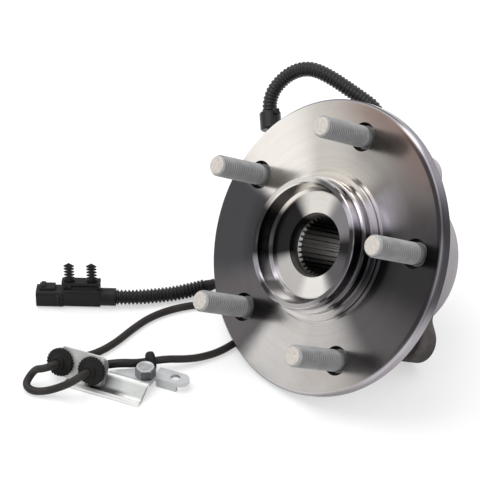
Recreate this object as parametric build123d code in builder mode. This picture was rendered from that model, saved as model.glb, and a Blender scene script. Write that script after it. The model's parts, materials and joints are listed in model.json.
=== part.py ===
from build123d import *
import math
import os

# Wheel hub bearing unit, standing on the rim of its wheel flange and on two ears of the carrier.
# Millimetres, +Z up, the floor at Z = 0, the wheel side towards -Y. The hub axis lies in the YZ plane
# and rises towards the wheel side. The origin is the middle of the standing unit, on the floor.

# ---------------------------------------------------------------- driving dimensions
# Along the hub axis the places are measured from the wheel face, positive towards the wheel.
flange_radius = 81.1
flange_rim = 8.0            # thickness of the flange at its rim
flange_web = 12.0           # thickness of the flange under the stud heads
web_radius = 75.0           # outer edge of the thick web
front_chamfer = 1.8
back_chamfer = 1.4

stud_count = 5
stud_circle = 127.0
stud_diameter = 12.0
stud_reach = 36.0           # from the wheel face to the stud's end
stud_relief = 16.0          # counterbore round each stud
stud_relief_depth = 3.0
stud_first_angle = -4.6     # degrees from straight up, positive towards +X
knurl_diameter = 12.9
stud_head_diameter = 19.0
stud_head_height = 4.5

pilot_radius = 35.75        # centres the wheel
pilot_height = 16.6
pilot_wall = 3.5
rotor_pilot_radius = 37.6   # centres the brake rotor
rotor_pilot_height = 9.2
collar_radius = 41.2
collar_height = 3.2
dish_depth = 9.6            # from the pilot's land down to its floor
bore_mouth_radius = 17.7

spline_teeth = 33
spline_minor_radius = 14.9
spline_major_radius = 16.1

ball_diameter = 12.7
ball_count = 12
pitch_radius = 30.0
outboard_row = -30.0
inboard_row = -50.0
race_clearance = 0.1
pocket_clearance = 0.25
high_shoulder = 27.5        # radius of the inner raceways' high shoulders
low_shoulder = 24.2
outer_shoulder = 32.8       # radius of the outer raceways' shoulder
cage_wall = 3.4
cage_rim = 1.4
cage_open_side = 2.5

ring_seat_radius = 20.0
ring_front = -40.0
ring_back = -64.0
spindle_end = -68.0
rolled_lip_radius = 25.5

carrier_radius = 40.0
carrier_front = -19.0
carrier_root = 1.5          # the body's swell where it meets the plate
plate_radius = 41.5         # the round middle of the eared plate
ear_front = -54.0
ear_back = -68.0
ear_circle = 98.0
ear_radius = 12.5
ear_spread = 131.0          # the two lower ears, degrees from straight up
top_ear_angle = -8.0
ear_root_fillet = 6.0
ear_bolt_hole = 10.2        # tapping size of M12
ear_fillet = 2.0
knuckle_pilot_radius = 40.0
knuckle_pilot_end = -72.0

seal_thickness = 2.6
seal_gap = 0.3
seal_web = 0.9
encoder_face = -61.8
encoder_thickness = 1.6
encoder_radius = 35.6

sensor_angle = -36.0        # round the hub axis, from the top ear
sensor_station = -61.0      # over the encoder ring
sensor_tip = 9.8
sensor_air_gap = 1.0
sensor_bore_gap = 0.1
sensor_pad_radius = 51.0    # the pad's face, from the hub axis
sensor_pad_width = 13.0
sensor_pad_side = 8.5       # from the sensor's middle to the pad's short end
sensor_screw_offset = 14.0
sensor_screw_size = 6.0
sensor_flange_height = 4.0
sensor_head_height = 13.0
sensor_outlet_height = 5.0

# The lead: a corrugated conduit at each end, thin cable between, lying on the floor.
conduit_diameter = 8.8
cable_diameter = 4.3
sleeve_diameter = 4.9
collar_diameter = 12.5
collar_length = 11.0
tape_diameter = 7.0
tape_length = 12.0

# The lead's bracket: a sheet standing on its front strip, with a leaning wall that holds two grommets
# and, beside the wall, a slope up to a plate and a tongue.
bracket_corner = (-66.1, -142.6)
bracket_heading = 27.0
sheet = 2.0
wall_lean = 22.0
wall_length = 19.4
wall_start = -14.0          # along the bracket
wall_end = 23.0
wall_foot = 3.8             # across the bracket, where the wall rises
wall_corner = 5.0
wall_round = 7.6            # the wall's left end, round its grommet
strip_start = 0.0
step_start = 21.0
step_end = 46.0
slope_foot = 3.4
slope_top = 12.5
band_end = 14.0
band_height = 4.5
plate_start = 15.4
plate_height = 3.7          # the underside of the plate
plate_depth = 25.4
plate_cut = (17.2, 35.0)     # across at the plate's left end, and along where the cut corner ends
tongue_end = 64.5
tongue_front = 20.5
tongue_width = 10.0
tongue_hole = 5.5
tongue_hole_along = 56.4
skirt_start = 47.0          # the tongue's turned-down front edge
skirt_end = 59.0
grommet_spots = (-4.7, 14.6)    # along the bracket
grommet_up_wall = 10.8
grommet_diameter = 16.0
grommet_hole = 11.0
grommet_lip = 3.0
grommet_nose = 3.0
bolt_spot = (40.6, 20.6)
bolt_size = 6.0
bolt_head_width = 10.0
bolt_head_height = 6.2
collar_grommet_diameter = 10.0
collar_grommet_length = 5.0
collar_grommet_spot = (38.2, 32.0, 6.6)
collar_grommet_heading = 66.0

# The connector: its axis is level, from its tail towards its mouth.
connector_tail = (-109.4, -75.1, 5.6)
connector_heading = 228.6
connector_tail_length = 9.0
connector_tail_diameter = 10.4
connector_body_length = 21.5
connector_body_width = 9.0
connector_body_top = 12.0
connector_shell_length = 15.5
connector_shell_width = 10.6
connector_shell_height = 11.2
connector_wall = 1.2
connector_mouth_depth = 11.0
blade_width = 2.2
blade_thickness = 0.8
blade_spacing = 4.2
blade_recess = 5.0           # from the mouth back to the blades' ends
rail_underside = 15.0
rail_thickness = 1.6
rail_width = 6.0
clip_spots = (4.5, 17.5)        # from the body's tail end
clip_height = 12.0
clip_diameter = 6.4
clip_stem = 2.4
clip_fins = 4

middle_back = 14.249        # distance of the unit's middle behind the hub face's centre line

# ---------------------------------------------------------------- the way the unit stands
ear_reach_down = ear_circle / 2 * math.cos(math.radians(180 - ear_spread)) + ear_radius
rim_back_edge = flange_rim - back_chamfer
lean = math.atan2(flange_radius - ear_reach_down, -ear_back - rim_back_edge)
hub_height = flange_radius * math.cos(lean) + rim_back_edge * math.sin(lean)
axis_out = Vector(0, -math.cos(lean), math.sin(lean))
radial_up = Vector(0, math.sin(lean), math.cos(lean))
hub_origin = Vector(0, -middle_back, hub_height)

face_plane = Plane(origin=hub_origin, x_dir=(1, 0, 0), z_dir=axis_out)
profile_plane = Plane(origin=hub_origin, x_dir=radial_up, z_dir=(1, 0, 0))
hub_axis = Axis(hub_origin, axis_out)


def at_hub(x, y, z):
    """A place given across, radially up and along the hub axis, as a place in the room."""
    return hub_origin + Vector(x, 0, 0) + radial_up * y + axis_out * z


def round_place(radius, angle, z):
    """A place round the hub axis, its angle in degrees from straight up towards +X."""
    turn = math.radians(angle)
    return at_hub(radius * math.sin(turn), radius * math.cos(turn), z)


def sketch_spots(radius, angles):
    """The same places as points of a sketch on the face plane."""
    return [(radius * math.sin(math.radians(a)), radius * math.cos(math.radians(a))) for a in angles]


def cord_arcs(name, route, diameter):
    """The radii of a cord's bends: each as large as its two runs allow."""
    spots = [Vector(*point) for point in route]
    radii = []
    for before, here, after in zip(spots, spots[1:], spots[2:]):
        turn = (here - before).get_angle(after - here)
        shorter = min((here - before).length, (after - here).length)
        radii.append(0.45 * shorter / math.tan(math.radians(turn) / 2))
    print(name, "radii", [round(radius, 1) for radius in radii], "diameter", diameter)
    return radii


def cord(name, route, diameter):
    """A cord's tube: straight runs joined by tangent arcs, with its volume held against its length."""
    with BuildPart() as tube:
        with BuildLine() as path:
            FilletPolyline(*route, radius=cord_arcs(name, route, diameter))
        middle = path.wires()[0]
        with BuildSketch(Plane(origin=middle @ 0, z_dir=middle % 0)):
            Circle(diameter / 2)
        sweep()
    length = middle.length
    section = math.pi * diameter**2 / 4
    print(name, "length", round(length, 1), "volume share", round(tube.part.volume / section / length, 4))
    return tube.part


def write(piece, name):
    piece.label = name
    export_step(piece, f"parts/{name}.step")


stud_angles = [stud_first_angle + 360 / stud_count * i for i in range(stud_count)]
ear_angles = [top_ear_angle, ear_spread, -ear_spread]
ball_radius = ball_diameter / 2
groove_radius = ball_radius + race_clearance
carrier_bore = pitch_radius + groove_radius


def groove_reach(shoulder):
    """Half the width of a raceway's groove where it meets a shoulder of this radius."""
    return math.sqrt(groove_radius**2 - (pitch_radius - shoulder) ** 2)


def groove(start, end, bottom):
    """The raceway's arc in the profile between two shoulders, through its bottom point."""
    ThreePointArc(start, bottom, end)


# ---------------------------------------------------------------- hub flange with its splined spindle
high_reach = groove_reach(high_shoulder)
low_reach = groove_reach(low_shoulder)
dish_floor = pilot_height - dish_depth
with BuildPart() as hub_flange:
    with BuildSketch(profile_plane):
        with BuildLine():
            Polyline(
                (low_shoulder, outboard_row - low_reach),
                (low_shoulder, ring_front),
                (ring_seat_radius, ring_front),
                (ring_seat_radius, ring_back),
                (rolled_lip_radius - 0.5, ring_back),
                (rolled_lip_radius, ring_back - 1.5),
                (rolled_lip_radius - 3.0, spindle_end),
                (spline_minor_radius, spindle_end),
                (spline_minor_radius, -0.9),
                (spline_major_radius + 0.2, 0.5),
                (bore_mouth_radius, dish_floor - 1.2),
                (pilot_radius - pilot_wall - 3.0, dish_floor - 0.4),
                (pilot_radius - pilot_wall - 1.5, dish_floor + 1.1),
                (pilot_radius - pilot_wall, pilot_height - 0.7),
                (pilot_radius - pilot_wall + 0.7, pilot_height),
                (pilot_radius - 0.6, pilot_height),
                (pilot_radius, pilot_height - 0.6),
                (pilot_radius, rotor_pilot_height + 0.5),
                (rotor_pilot_radius - 0.6, rotor_pilot_height),
                (rotor_pilot_radius, rotor_pilot_height - 0.6),
                (rotor_pilot_radius, collar_height + 1.2),
                (rotor_pilot_radius + 0.8, collar_height + 0.4),
                (collar_radius - 0.6, collar_height),
                (collar_radius, collar_height - 0.6),
                (collar_radius, 1.2),
                (collar_radius + 1.2, 0),
                (flange_radius - front_chamfer, 0),
                (flange_radius, -front_chamfer),
                (flange_radius, -rim_back_edge),
                (flange_radius - back_chamfer, -flange_rim),
                (web_radius, -flange_rim),
                (web_radius - 1.0, -flange_web),
                (carrier_radius + 5.0, -flange_web),
                (carrier_radius - 1.0, carrier_front + 3.0),
                (high_shoulder + 3.5, carrier_front + 1.5),
                (high_shoulder, carrier_front),
                (high_shoulder, outboard_row + high_reach),
            )
            groove(
                (high_shoulder, outboard_row + high_reach),
                (low_shoulder, outboard_row - low_reach),
                (pitch_radius - groove_radius, outboard_row),
            )
        make_face()
    revolve(axis=hub_axis)
    with BuildSketch(face_plane.offset(-flange_web - 1)):
        with Locations(*sketch_spots(stud_circle / 2, stud_angles)):
            Circle(knurl_diameter / 2)
    extrude(amount=flange_web + 2, mode=Mode.SUBTRACT)
    with BuildSketch(face_plane.offset(-stud_relief_depth)):
        with Locations(*sketch_spots(stud_circle / 2, stud_angles)):
            Circle(stud_relief / 2)
    extrude(amount=stud_relief_depth + 1, mode=Mode.SUBTRACT)
    spline_pitch = 2 * math.pi * spline_minor_radius / spline_teeth
    with BuildSketch(face_plane.offset(spindle_end - 1)):
        with PolarLocations(spline_minor_radius, spline_teeth):
            with Locations((-0.5, 0)):
                Trapezoid(
                    spline_pitch * 0.62,
                    spline_major_radius - spline_minor_radius + 0.5,
                    75,
                    rotation=-90,
                    align=(Align.CENTER, Align.MIN),
                )
    extrude(amount=2 - spindle_end, mode=Mode.SUBTRACT)
write(hub_flange.part, "hub_flange")

# ---------------------------------------------------------------- wheel studs, pressed in from behind
with BuildPart() as wheel_studs:
    stud_radius = stud_diameter / 2
    for angle in stud_angles:
        foot = round_place(stud_circle / 2, angle, 0)
        with BuildSketch(Plane(origin=foot, x_dir=radial_up, z_dir=(1, 0, 0))):
            with BuildLine():
                Polyline(
                    (0, -flange_web - stud_head_height),
                    (stud_head_diameter / 2 - 1, -flange_web - stud_head_height),
                    (stud_head_diameter / 2, -flange_web - stud_head_height + 1),
                    (stud_head_diameter / 2, -flange_web),
                    (knurl_diameter / 2, -flange_web),
                    (knurl_diameter / 2, -stud_relief_depth),
                    (stud_radius - 0.35, -stud_relief_depth),
                    (stud_radius - 0.35, 2.6),
                    (stud_radius, 3.2),
                    (stud_radius, stud_reach - 1.8),
                    (stud_radius - 1.9, stud_reach),
                    (0, stud_reach),
                    close=True,
                )
            make_face()
        revolve(axis=Axis(foot, axis_out))
write(wheel_studs.part, "wheel_studs")

# ---------------------------------------------------------------- inner ring, held by the rolled lip
with BuildPart() as inner_ring:
    with BuildSketch(profile_plane):
        with BuildLine():
            Polyline(
                (high_shoulder, inboard_row - high_reach),
                (high_shoulder, ring_back + 0.8),
                (high_shoulder - 0.8, ring_back),
                (ring_seat_radius, ring_back),
                (ring_seat_radius, ring_front),
                (low_shoulder - 0.6, ring_front),
                (low_shoulder, ring_front - 0.6),
                (low_shoulder, inboard_row + low_reach),
            )
            groove(
                (low_shoulder, inboard_row + low_reach),
                (high_shoulder, inboard_row - high_reach),
                (pitch_radius - groove_radius, inboard_row),
            )
        make_face()
    revolve(axis=hub_axis)
write(inner_ring.part, "inner_ring")

# ---------------------------------------------------------------- balls and crown cages
ball_angles = [360 / ball_count * i for i in range(ball_count)]


def ball_row(row):
    with BuildPart() as balls:
        for angle in ball_angles:
            with Locations(Location(round_place(pitch_radius, angle, row))):
                Sphere(ball_radius)
    return balls.part


def crown_cage(row, side):
    """A crown cage: its closed rim lies on the given side of the balls, -1 or 1 along the axis."""
    closed_end = row + side * (ball_radius + pocket_clearance + cage_rim)
    open_end = row - side * cage_open_side
    with BuildPart() as cage:
        with BuildSketch(profile_plane):
            with Locations((pitch_radius, (closed_end + open_end) / 2)):
                Rectangle(cage_wall, abs(closed_end - open_end))
        revolve(axis=hub_axis)
        for angle in ball_angles:
            with Locations(Location(round_place(pitch_radius, angle, row))):
                Sphere(ball_radius + pocket_clearance, mode=Mode.SUBTRACT)
    return cage.part


write(ball_row(outboard_row), "outboard_balls")
write(ball_row(inboard_row), "inboard_balls")
write(crown_cage(outboard_row, -1), "outboard_cage")
write(crown_cage(inboard_row, 1), "inboard_cage")

# ---------------------------------------------------------------- carrier, the fixed outer ring
shoulder_reach = groove_reach(outer_shoulder)


def quarter_point(row, side):
    """The middle of the outer raceway's arc, between its bottom and its shoulder."""
    turn = math.atan2(shoulder_reach, outer_shoulder - pitch_radius) / 2
    return (pitch_radius + groove_radius * math.cos(turn), row + side * groove_radius * math.sin(turn))


def sensor_plane(radius):
    """A plane square to the sensor, its x across the hub's circle and its y along the hub axis."""
    spot = round_place(radius, sensor_angle, sensor_station)
    outward = spot - at_hub(0, 0, sensor_station)
    return Plane(origin=spot, x_dir=axis_out.cross(outward), z_dir=outward)


pad_length = sensor_pad_side * 2 + sensor_screw_offset
with BuildPart() as carrier:
    with BuildSketch(face_plane.offset(ear_back)) as eared:
        Circle(plate_radius)
        with Locations(*sketch_spots(ear_circle / 2, ear_angles)):
            Circle(ear_radius)
        for angle in ear_angles:
            with Locations(*sketch_spots(ear_circle / 4, [angle])):
                Rectangle(2 * ear_radius, ear_circle / 2, rotation=-angle)
        roots = [v for v in eared.vertices() if abs((v.X**2 + v.Y**2) ** 0.5 - plate_radius) < 0.01]
        fillet(roots, ear_root_fillet)
    extrude(amount=ear_front - ear_back)
    plate_faces = carrier.faces().filter_by(GeomType.PLANE).sort_by(hub_axis)
    fillet(plate_faces[-1].outer_wire().edges(), ear_fillet)
    chamfer(carrier.faces().filter_by(GeomType.PLANE).sort_by(hub_axis)[0].outer_wire().edges(), 0.8)
    with BuildSketch(sensor_plane(carrier_radius - 3)):
        with Locations((sensor_screw_offset / 2, 0)):
            RectangleRounded(pad_length, sensor_pad_width, 3)
    extrude(amount=sensor_pad_radius - carrier_radius + 3)
    with BuildSketch(profile_plane):
        with BuildLine():
            Polyline(
                (0, knuckle_pilot_end),
                (knuckle_pilot_radius - 1.0, knuckle_pilot_end),
                (knuckle_pilot_radius, knuckle_pilot_end + 1.0),
                (knuckle_pilot_radius, ear_front - 1),
                (carrier_radius + carrier_root, ear_front - 1),
                (carrier_radius + carrier_root, ear_front),
                (carrier_radius, ear_front + 2),
                (carrier_radius, carrier_front - 1.5),
                (carrier_radius - 1.5, carrier_front),
                (0, carrier_front),
                close=True,
            )
        make_face()
    revolve(axis=hub_axis)
    with BuildSketch(profile_plane):
        with BuildLine():
            Polyline(
                (carrier_bore, inboard_row),
                (carrier_bore, knuckle_pilot_end),
                (0, knuckle_pilot_end),
                (0, carrier_front),
                (carrier_bore, carrier_front),
                (carrier_bore, outboard_row),
            )
            ThreePointArc(
                (carrier_bore, outboard_row),
                quarter_point(outboard_row, -1),
                (outer_shoulder, outboard_row - shoulder_reach),
            )
            Line((outer_shoulder, outboard_row - shoulder_reach), (outer_shoulder, inboard_row + shoulder_reach))
            ThreePointArc(
                (outer_shoulder, inboard_row + shoulder_reach),
                quarter_point(inboard_row, 1),
                (carrier_bore, inboard_row),
            )
        make_face()
    revolve(axis=hub_axis, mode=Mode.SUBTRACT)
    with BuildSketch(face_plane.offset(ear_back - 1)):
        with Locations(*sketch_spots(ear_circle / 2, ear_angles)):
            Circle(ear_bolt_hole / 2)
    extrude(amount=ear_front - ear_back + 2, mode=Mode.SUBTRACT)
    with BuildSketch(sensor_plane(sensor_pad_radius + 1)):
        Circle(sensor_tip / 2 + sensor_bore_gap)
    extrude(amount=-(sensor_pad_radius + 1 - carrier_bore + 3), mode=Mode.SUBTRACT)
    with BuildSketch(sensor_plane(sensor_pad_radius + 1)):
        with Locations((sensor_screw_offset, 0)):
            Circle(sensor_screw_size / 2)
    extrude(amount=-10, mode=Mode.SUBTRACT)
write(carrier.part, "carrier")

# ---------------------------------------------------------------- seals and encoder ring
def seal_section(inner, outer, front, back):
    """A seal's section: a case in the bore, a web and a thick lip beside the shaft."""
    web = back + math.copysign(seal_web, front - back)
    Polyline(
        (outer, front),
        (outer, back),
        (inner, back),
        (inner, front),
        (inner + 1.8, front),
        (inner + 2.6, web),
        (outer - 1.4, web),
        (outer - 0.9, front),
        close=True,
    )


outboard_seal_back = outboard_row + high_reach + 0.6
with BuildPart() as outboard_seal:
    with BuildSketch(profile_plane):
        with BuildLine():
            seal_section(
                high_shoulder + seal_gap, carrier_bore, outboard_seal_back + seal_thickness, outboard_seal_back
            )
        make_face()
    revolve(axis=hub_axis)
write(outboard_seal.part, "outboard_seal")

inboard_seal_front = inboard_row - high_reach - 0.6
with BuildPart() as inboard_seal:
    with BuildSketch(profile_plane):
        with BuildLine():
            seal_section(
                high_shoulder + seal_gap, carrier_bore, inboard_seal_front - seal_thickness, inboard_seal_front
            )
        make_face()
    revolve(axis=hub_axis)
write(inboard_seal.part, "inboard_seal")

with BuildPart() as encoder_ring:
    with BuildSketch(profile_plane):
        with BuildLine():
            Polyline(
                (high_shoulder, encoder_face + encoder_thickness),
                (encoder_radius, encoder_face + encoder_thickness),
                (encoder_radius, encoder_face),
                (high_shoulder + 1.0, encoder_face),
                (high_shoulder + 1.0, ring_back + 0.8),
                (high_shoulder, ring_back + 0.8),
                close=True,
            )
        make_face()
    revolve(axis=hub_axis)
write(encoder_ring.part, "encoder_ring")

# ---------------------------------------------------------------- wheel speed sensor and its screw
with BuildPart() as speed_sensor:
    with BuildSketch(sensor_plane(encoder_radius + sensor_air_gap)):
        Circle(sensor_tip / 2)
    extrude(amount=sensor_pad_radius - encoder_radius - sensor_air_gap)
    with BuildSketch(sensor_plane(sensor_pad_radius)):
        with Locations((sensor_screw_offset / 2, 0)):
            RectangleRounded(pad_length - 2, sensor_pad_width - 1, 3)
        with Locations((sensor_screw_offset, 0)):
            Circle(sensor_screw_size / 2 + 0.3, mode=Mode.SUBTRACT)
    extrude(amount=sensor_flange_height)
    with BuildSketch(sensor_plane(sensor_pad_radius + sensor_flange_height)):
        with Locations((-0.5, 0)):
            RectangleRounded(13, 11, 3)
    with BuildSketch(sensor_plane(sensor_pad_radius + sensor_flange_height + sensor_head_height)):
        Circle(5.6)
    loft()
    with BuildSketch(sensor_plane(sensor_pad_radius + sensor_flange_height + sensor_head_height)):
        Circle(5.2)
    extrude(amount=sensor_outlet_height)
write(speed_sensor.part, "speed_sensor")

with BuildPart() as sensor_screw:
    head_foot = sensor_pad_radius + sensor_flange_height
    with BuildSketch(sensor_plane(head_foot)):
        with Locations((sensor_screw_offset, 0)):
            Circle(sensor_screw_size / 2)
    extrude(amount=-sensor_flange_height - 8)
    with BuildSketch(sensor_plane(head_foot)):
        with Locations((sensor_screw_offset, 0)):
            Circle(5.6)
    extrude(amount=1.2)
    with BuildSketch(sensor_plane(head_foot + 1.2)):
        with Locations((sensor_screw_offset, 0)):
            RegularPolygon(5.0, 6)
    extrude(amount=4.2)
write(sensor_screw.part, "sensor_screw")

# ---------------------------------------------------------------- the lead's bracket
along = Vector(math.cos(math.radians(bracket_heading)), math.sin(math.radians(bracket_heading)), 0)
across = Vector(-along.Y, along.X, 0)
bracket_origin = Vector(*bracket_corner, 0)


def at_bracket(u, v, z):
    return bracket_origin + along * u + across * v + Vector(0, 0, z)


def section_plane(u):
    """A plane across the bracket at this place along it: x across, y up."""
    return Plane(origin=at_bracket(u, 0, 0), x_dir=across, z_dir=along)


lean_turn = math.radians(wall_lean)
wall_top = (wall_foot + wall_length * math.sin(lean_turn), wall_length * math.cos(lean_turn))
wall_back = across * math.cos(lean_turn) - Vector(0, 0, math.sin(lean_turn))


def on_wall(u, up, depth):
    """A place on the wall: along the bracket, up the wall's front face and in behind it."""
    foot = at_bracket(u, wall_foot, 0)
    rise = across * math.sin(lean_turn) + Vector(0, 0, math.cos(lean_turn))
    return foot + rise * up + wall_back * depth


with BuildPart() as bracket:
    wall_back_foot = wall_foot + sheet / math.cos(lean_turn)
    wall_back_top = (wall_top[0] + sheet * math.cos(lean_turn), wall_top[1] - sheet * math.sin(lean_turn))
    with BuildSketch(section_plane(wall_start)):
        with BuildLine():
            FilletPolyline((0, 0), (wall_back_foot, 0), wall_back_top, radius=sheet + 0.4)
            offset(amount=sheet, side=Side.LEFT)
        make_face()
    extrude(amount=wall_end - wall_start)
    fillet(bracket.edges().filter_by(Axis(bracket_origin, wall_back)), wall_corner)
    with BuildSketch(Plane(origin=on_wall(grommet_spots[0], grommet_up_wall, -8), x_dir=along, z_dir=wall_back)):
        with Locations((-wall_length / 2, 0)):
            Rectangle(wall_length, 4 * wall_length)
        Circle(wall_round, mode=Mode.SUBTRACT)
    extrude(amount=8 + 2 * sheet, mode=Mode.SUBTRACT)
    with BuildSketch(Plane(origin=at_bracket(0, 0, 0), x_dir=along, z_dir=(0, 0, 1))):
        with Locations((strip_start + wall_start / 2, wall_foot)):
            Rectangle(-wall_start, 4 * wall_foot)
    extrude(amount=sheet + 0.4, mode=Mode.SUBTRACT)
    with BuildSketch(section_plane(step_start)):
        with BuildLine():
            FilletPolyline(
                (0, 0),
                (slope_foot, 0),
                (slope_top, band_height),
                (band_end, band_height),
                (plate_start, plate_height),
                (plate_depth, plate_height),
                radius=(sheet + 0.6, sheet - 0.6, sheet / 4, sheet + 0.3),
            )
            offset(amount=sheet, side=Side.LEFT)
        make_face()
    extrude(amount=step_end - step_start)
    with BuildSketch(Plane(origin=at_bracket(0, 0, 0), x_dir=along, z_dir=(0, 0, 1))):
        with BuildLine():
            Polyline(
                (step_start - 1, plate_cut[0] - 0.6),
                (step_start - 1, plate_depth + 1),
                (plate_cut[1] + 1.7, plate_depth + 1),
                close=True,
            )
        make_face()
    extrude(amount=plate_height + 2 * sheet, mode=Mode.SUBTRACT)
    tongue_middle = tongue_front + tongue_width / 2
    with BuildSketch(Plane(origin=at_bracket(0, 0, plate_height), x_dir=along, z_dir=(0, 0, 1))):
        with Locations(((step_end - 1 + tongue_end - tongue_width / 2) / 2, tongue_middle)):
            Rectangle(tongue_end - tongue_width / 2 - step_end + 1, tongue_width)
        with Locations((tongue_end - tongue_width / 2, tongue_middle)):
            Circle(tongue_width / 2)
    extrude(amount=sheet)
    with BuildSketch(Plane(origin=at_bracket(0, 0, 0), x_dir=along, z_dir=(0, 0, 1))):
        with Locations(((skirt_start + skirt_end) / 2, tongue_front + sheet / 2)):
            Rectangle(skirt_end - skirt_start, sheet)
    extrude(amount=plate_height + sheet / 2)
    for spot in grommet_spots:
        with BuildSketch(Plane(origin=on_wall(spot, grommet_up_wall, -1), x_dir=along, z_dir=wall_back)):
            Circle(grommet_hole / 2)
        extrude(amount=sheet + 2, mode=Mode.SUBTRACT)
    with BuildSketch(Plane(origin=at_bracket(0, 0, 0), x_dir=along, z_dir=(0, 0, 1))):
        with Locations(bolt_spot):
            Circle(bolt_size / 2)
        with Locations((tongue_hole_along, tongue_middle)):
            Circle(tongue_hole / 2)
    extrude(amount=plate_height + sheet + 1, mode=Mode.SUBTRACT)
write(bracket.part, "bracket")

# ---------------------------------------------------------------- grommets on the bracket's wall
def wall_grommet(spot):
    """A rubber grommet moulded on the cable: a lip on each face of the wall and a nose in front."""
    centre = on_wall(spot, grommet_up_wall, 0)
    neck = grommet_hole / 2
    lip = grommet_diameter / 2
    with BuildPart() as grommet:
        with BuildSketch(Plane(origin=centre, x_dir=along, z_dir=along.cross(wall_back))):
            with BuildLine():
                Polyline(
                    (0, -grommet_lip - grommet_nose),
                    (3.6, -grommet_lip - grommet_nose),
                    (4.6, -grommet_lip - 0.4),
                    (lip - 0.8, -grommet_lip),
                    (lip, -grommet_lip + 0.8),
                    (lip, 0),
                    (neck, 0),
                    (neck, sheet),
                    (lip - 1.2, sheet),
                    (lip - 2.2, sheet + grommet_lip),
                    (0, sheet + grommet_lip),
                    close=True,
                )
            make_face()
        revolve(axis=Axis(centre, wall_back))
    return grommet.part


write(wall_grommet(grommet_spots[0]), "bracket_grommet_left")
write(wall_grommet(grommet_spots[1]), "bracket_grommet_right")

with BuildPart() as bracket_bolt:
    seat = plate_height + sheet
    bolt_plane = Plane(origin=at_bracket(*bolt_spot, seat), x_dir=along, z_dir=(0, 0, 1))
    with BuildSketch(bolt_plane):
        Circle(bolt_size / 2)
    extrude(amount=-seat + 0.4)
    with BuildSketch(bolt_plane):
        RegularPolygon(bolt_head_width / 2, 6, major_radius=False)
    extrude(amount=bolt_head_height)
write(bracket_bolt.part, "bracket_bolt")

# ---------------------------------------------------------------- the lead's routes and moulded pieces
sensor_end = sensor_pad_radius + sensor_flange_height + sensor_head_height + sensor_outlet_height
outlet = round_place(sensor_end, sensor_angle, sensor_station)
outlet_way = (outlet - at_hub(0, 0, sensor_station)).normalized()
collar_top = Vector(-105.2, 36.7, 90.6)
collar_way = Vector(0.60, -0.40, -0.70).normalized()
collar_foot = collar_top + collar_way * collar_length
sensor_conduit_route = [
    outlet,
    outlet + outlet_way * 13,
    (-66.0, 68.5, 108.5),
    (-87.0, 62.5, 115.5),
    (-99.0, 58.0, 115.5),
    (-108.5, 51.0, 108.5),
    collar_top - collar_way * 9.5,
    collar_top,
]
write(cord("sensor_conduit", sensor_conduit_route, conduit_diameter), "sensor_conduit")

with BuildPart() as conduit_collar:
    with BuildSketch(Plane(origin=collar_top, z_dir=collar_way)):
        Circle(collar_diameter / 2)
    extrude(amount=collar_length)
    chamfer(conduit_collar.edges().filter_by(GeomType.CIRCLE), 0.8)
    with BuildSketch(Plane(origin=collar_top, x_dir=(1, 0, 0.857), z_dir=collar_way)):
        with Locations((collar_diameter / 2, 0)):
            Rectangle(4.5, 3.0)
    extrude(amount=3.0)
write(conduit_collar.part, "conduit_collar")

collar_turn = math.radians(collar_grommet_heading)
disc_way = Vector(math.cos(collar_turn), math.sin(collar_turn), 0)
collar_disc = at_bracket(*collar_grommet_spot) - disc_way * (collar_grommet_length / 2)
disc_back = collar_disc + disc_way * collar_grommet_length
rear_cable_route = [
    collar_foot,
    collar_foot + collar_way * 8,
    (-84.0, 25.0, 62.0),
    (-74.0, 23.0, 44.0),
    (-65.0, 20.0, 26.0),
    (-56.0, 12.0, 11.0),
    (-47.5, 0.0, 3.2),
    (-42.0, -14.0, 2.3),
    (-38.5, -30.0, 2.3),
    (-35.0, -45.0, 2.3),
    (-33.8, -58.5, 2.3),
    (-35.8, -70.0, 2.9),
    (-38.4, -79.4, 4.6),
    disc_back + disc_way * 6,
    disc_back,
]
write(cord("rear_cable", rear_cable_route, cable_diameter), "rear_cable")

with BuildPart() as collar_grommet:
    with BuildSketch(Plane(origin=collar_disc, z_dir=disc_way)):
        Circle(collar_grommet_diameter / 2)
    extrude(amount=collar_grommet_length)
    fillet(collar_grommet.edges().filter_by(GeomType.CIRCLE), 1.8)
write(collar_grommet.part, "collar_grommet")

right_back = on_wall(grommet_spots[1], grommet_up_wall, sheet + grommet_lip)
sleeve_route = [
    right_back,
    right_back + wall_back * 5,
    at_bracket(17.5, 21.1, 5.8),
    at_bracket(25.0, 23.4, 7.4),
    collar_disc - disc_way * 5,
    collar_disc,
]
write(cord("cable_sleeve", sleeve_route, sleeve_diameter), "cable_sleeve")

nose = grommet_lip + grommet_nose
left_nose = on_wall(grommet_spots[0], grommet_up_wall, -nose)
right_nose = on_wall(grommet_spots[1], grommet_up_wall, -nose)
loop_route = [
    left_nose,
    left_nose - wall_back * 6.8,
    (-70.6, -152.9, 14.2),
    (-75.1, -153.4, 11.7),
    (-78.7, -155.0, 6.5),
    (-76.9, -160.2, 3.0),
    (-70.3, -160.0, 2.4),
    (-64.3, -154.8, 3.6),
    (-58.6, -149.2, 7.1),
    (-53.0, -145.2, 11.9),
    right_nose - wall_back * 6.8,
    right_nose,
]
write(cord("loop_cable", loop_route, cable_diameter), "loop_cable")

# ---------------------------------------------------------------- connector, its conduit and the tape
connector_way = Vector(math.cos(math.radians(connector_heading)), math.sin(math.radians(connector_heading)), 0)
connector_side = Vector(-connector_way.Y, connector_way.X, 0)
tail = Vector(*connector_tail)


def at_connector(s, w, z):
    """A place on the connector: from its tail towards the mouth, to its side, and above the floor."""
    return Vector(tail.X, tail.Y, 0) + connector_way * s + connector_side * w + Vector(0, 0, z)


def connector_plane(s):
    """A plane square to the connector's axis: x to its side, y up, at the axis's height."""
    return Plane(origin=at_connector(s, 0, tail.Z), x_dir=connector_side, z_dir=connector_way)


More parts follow.
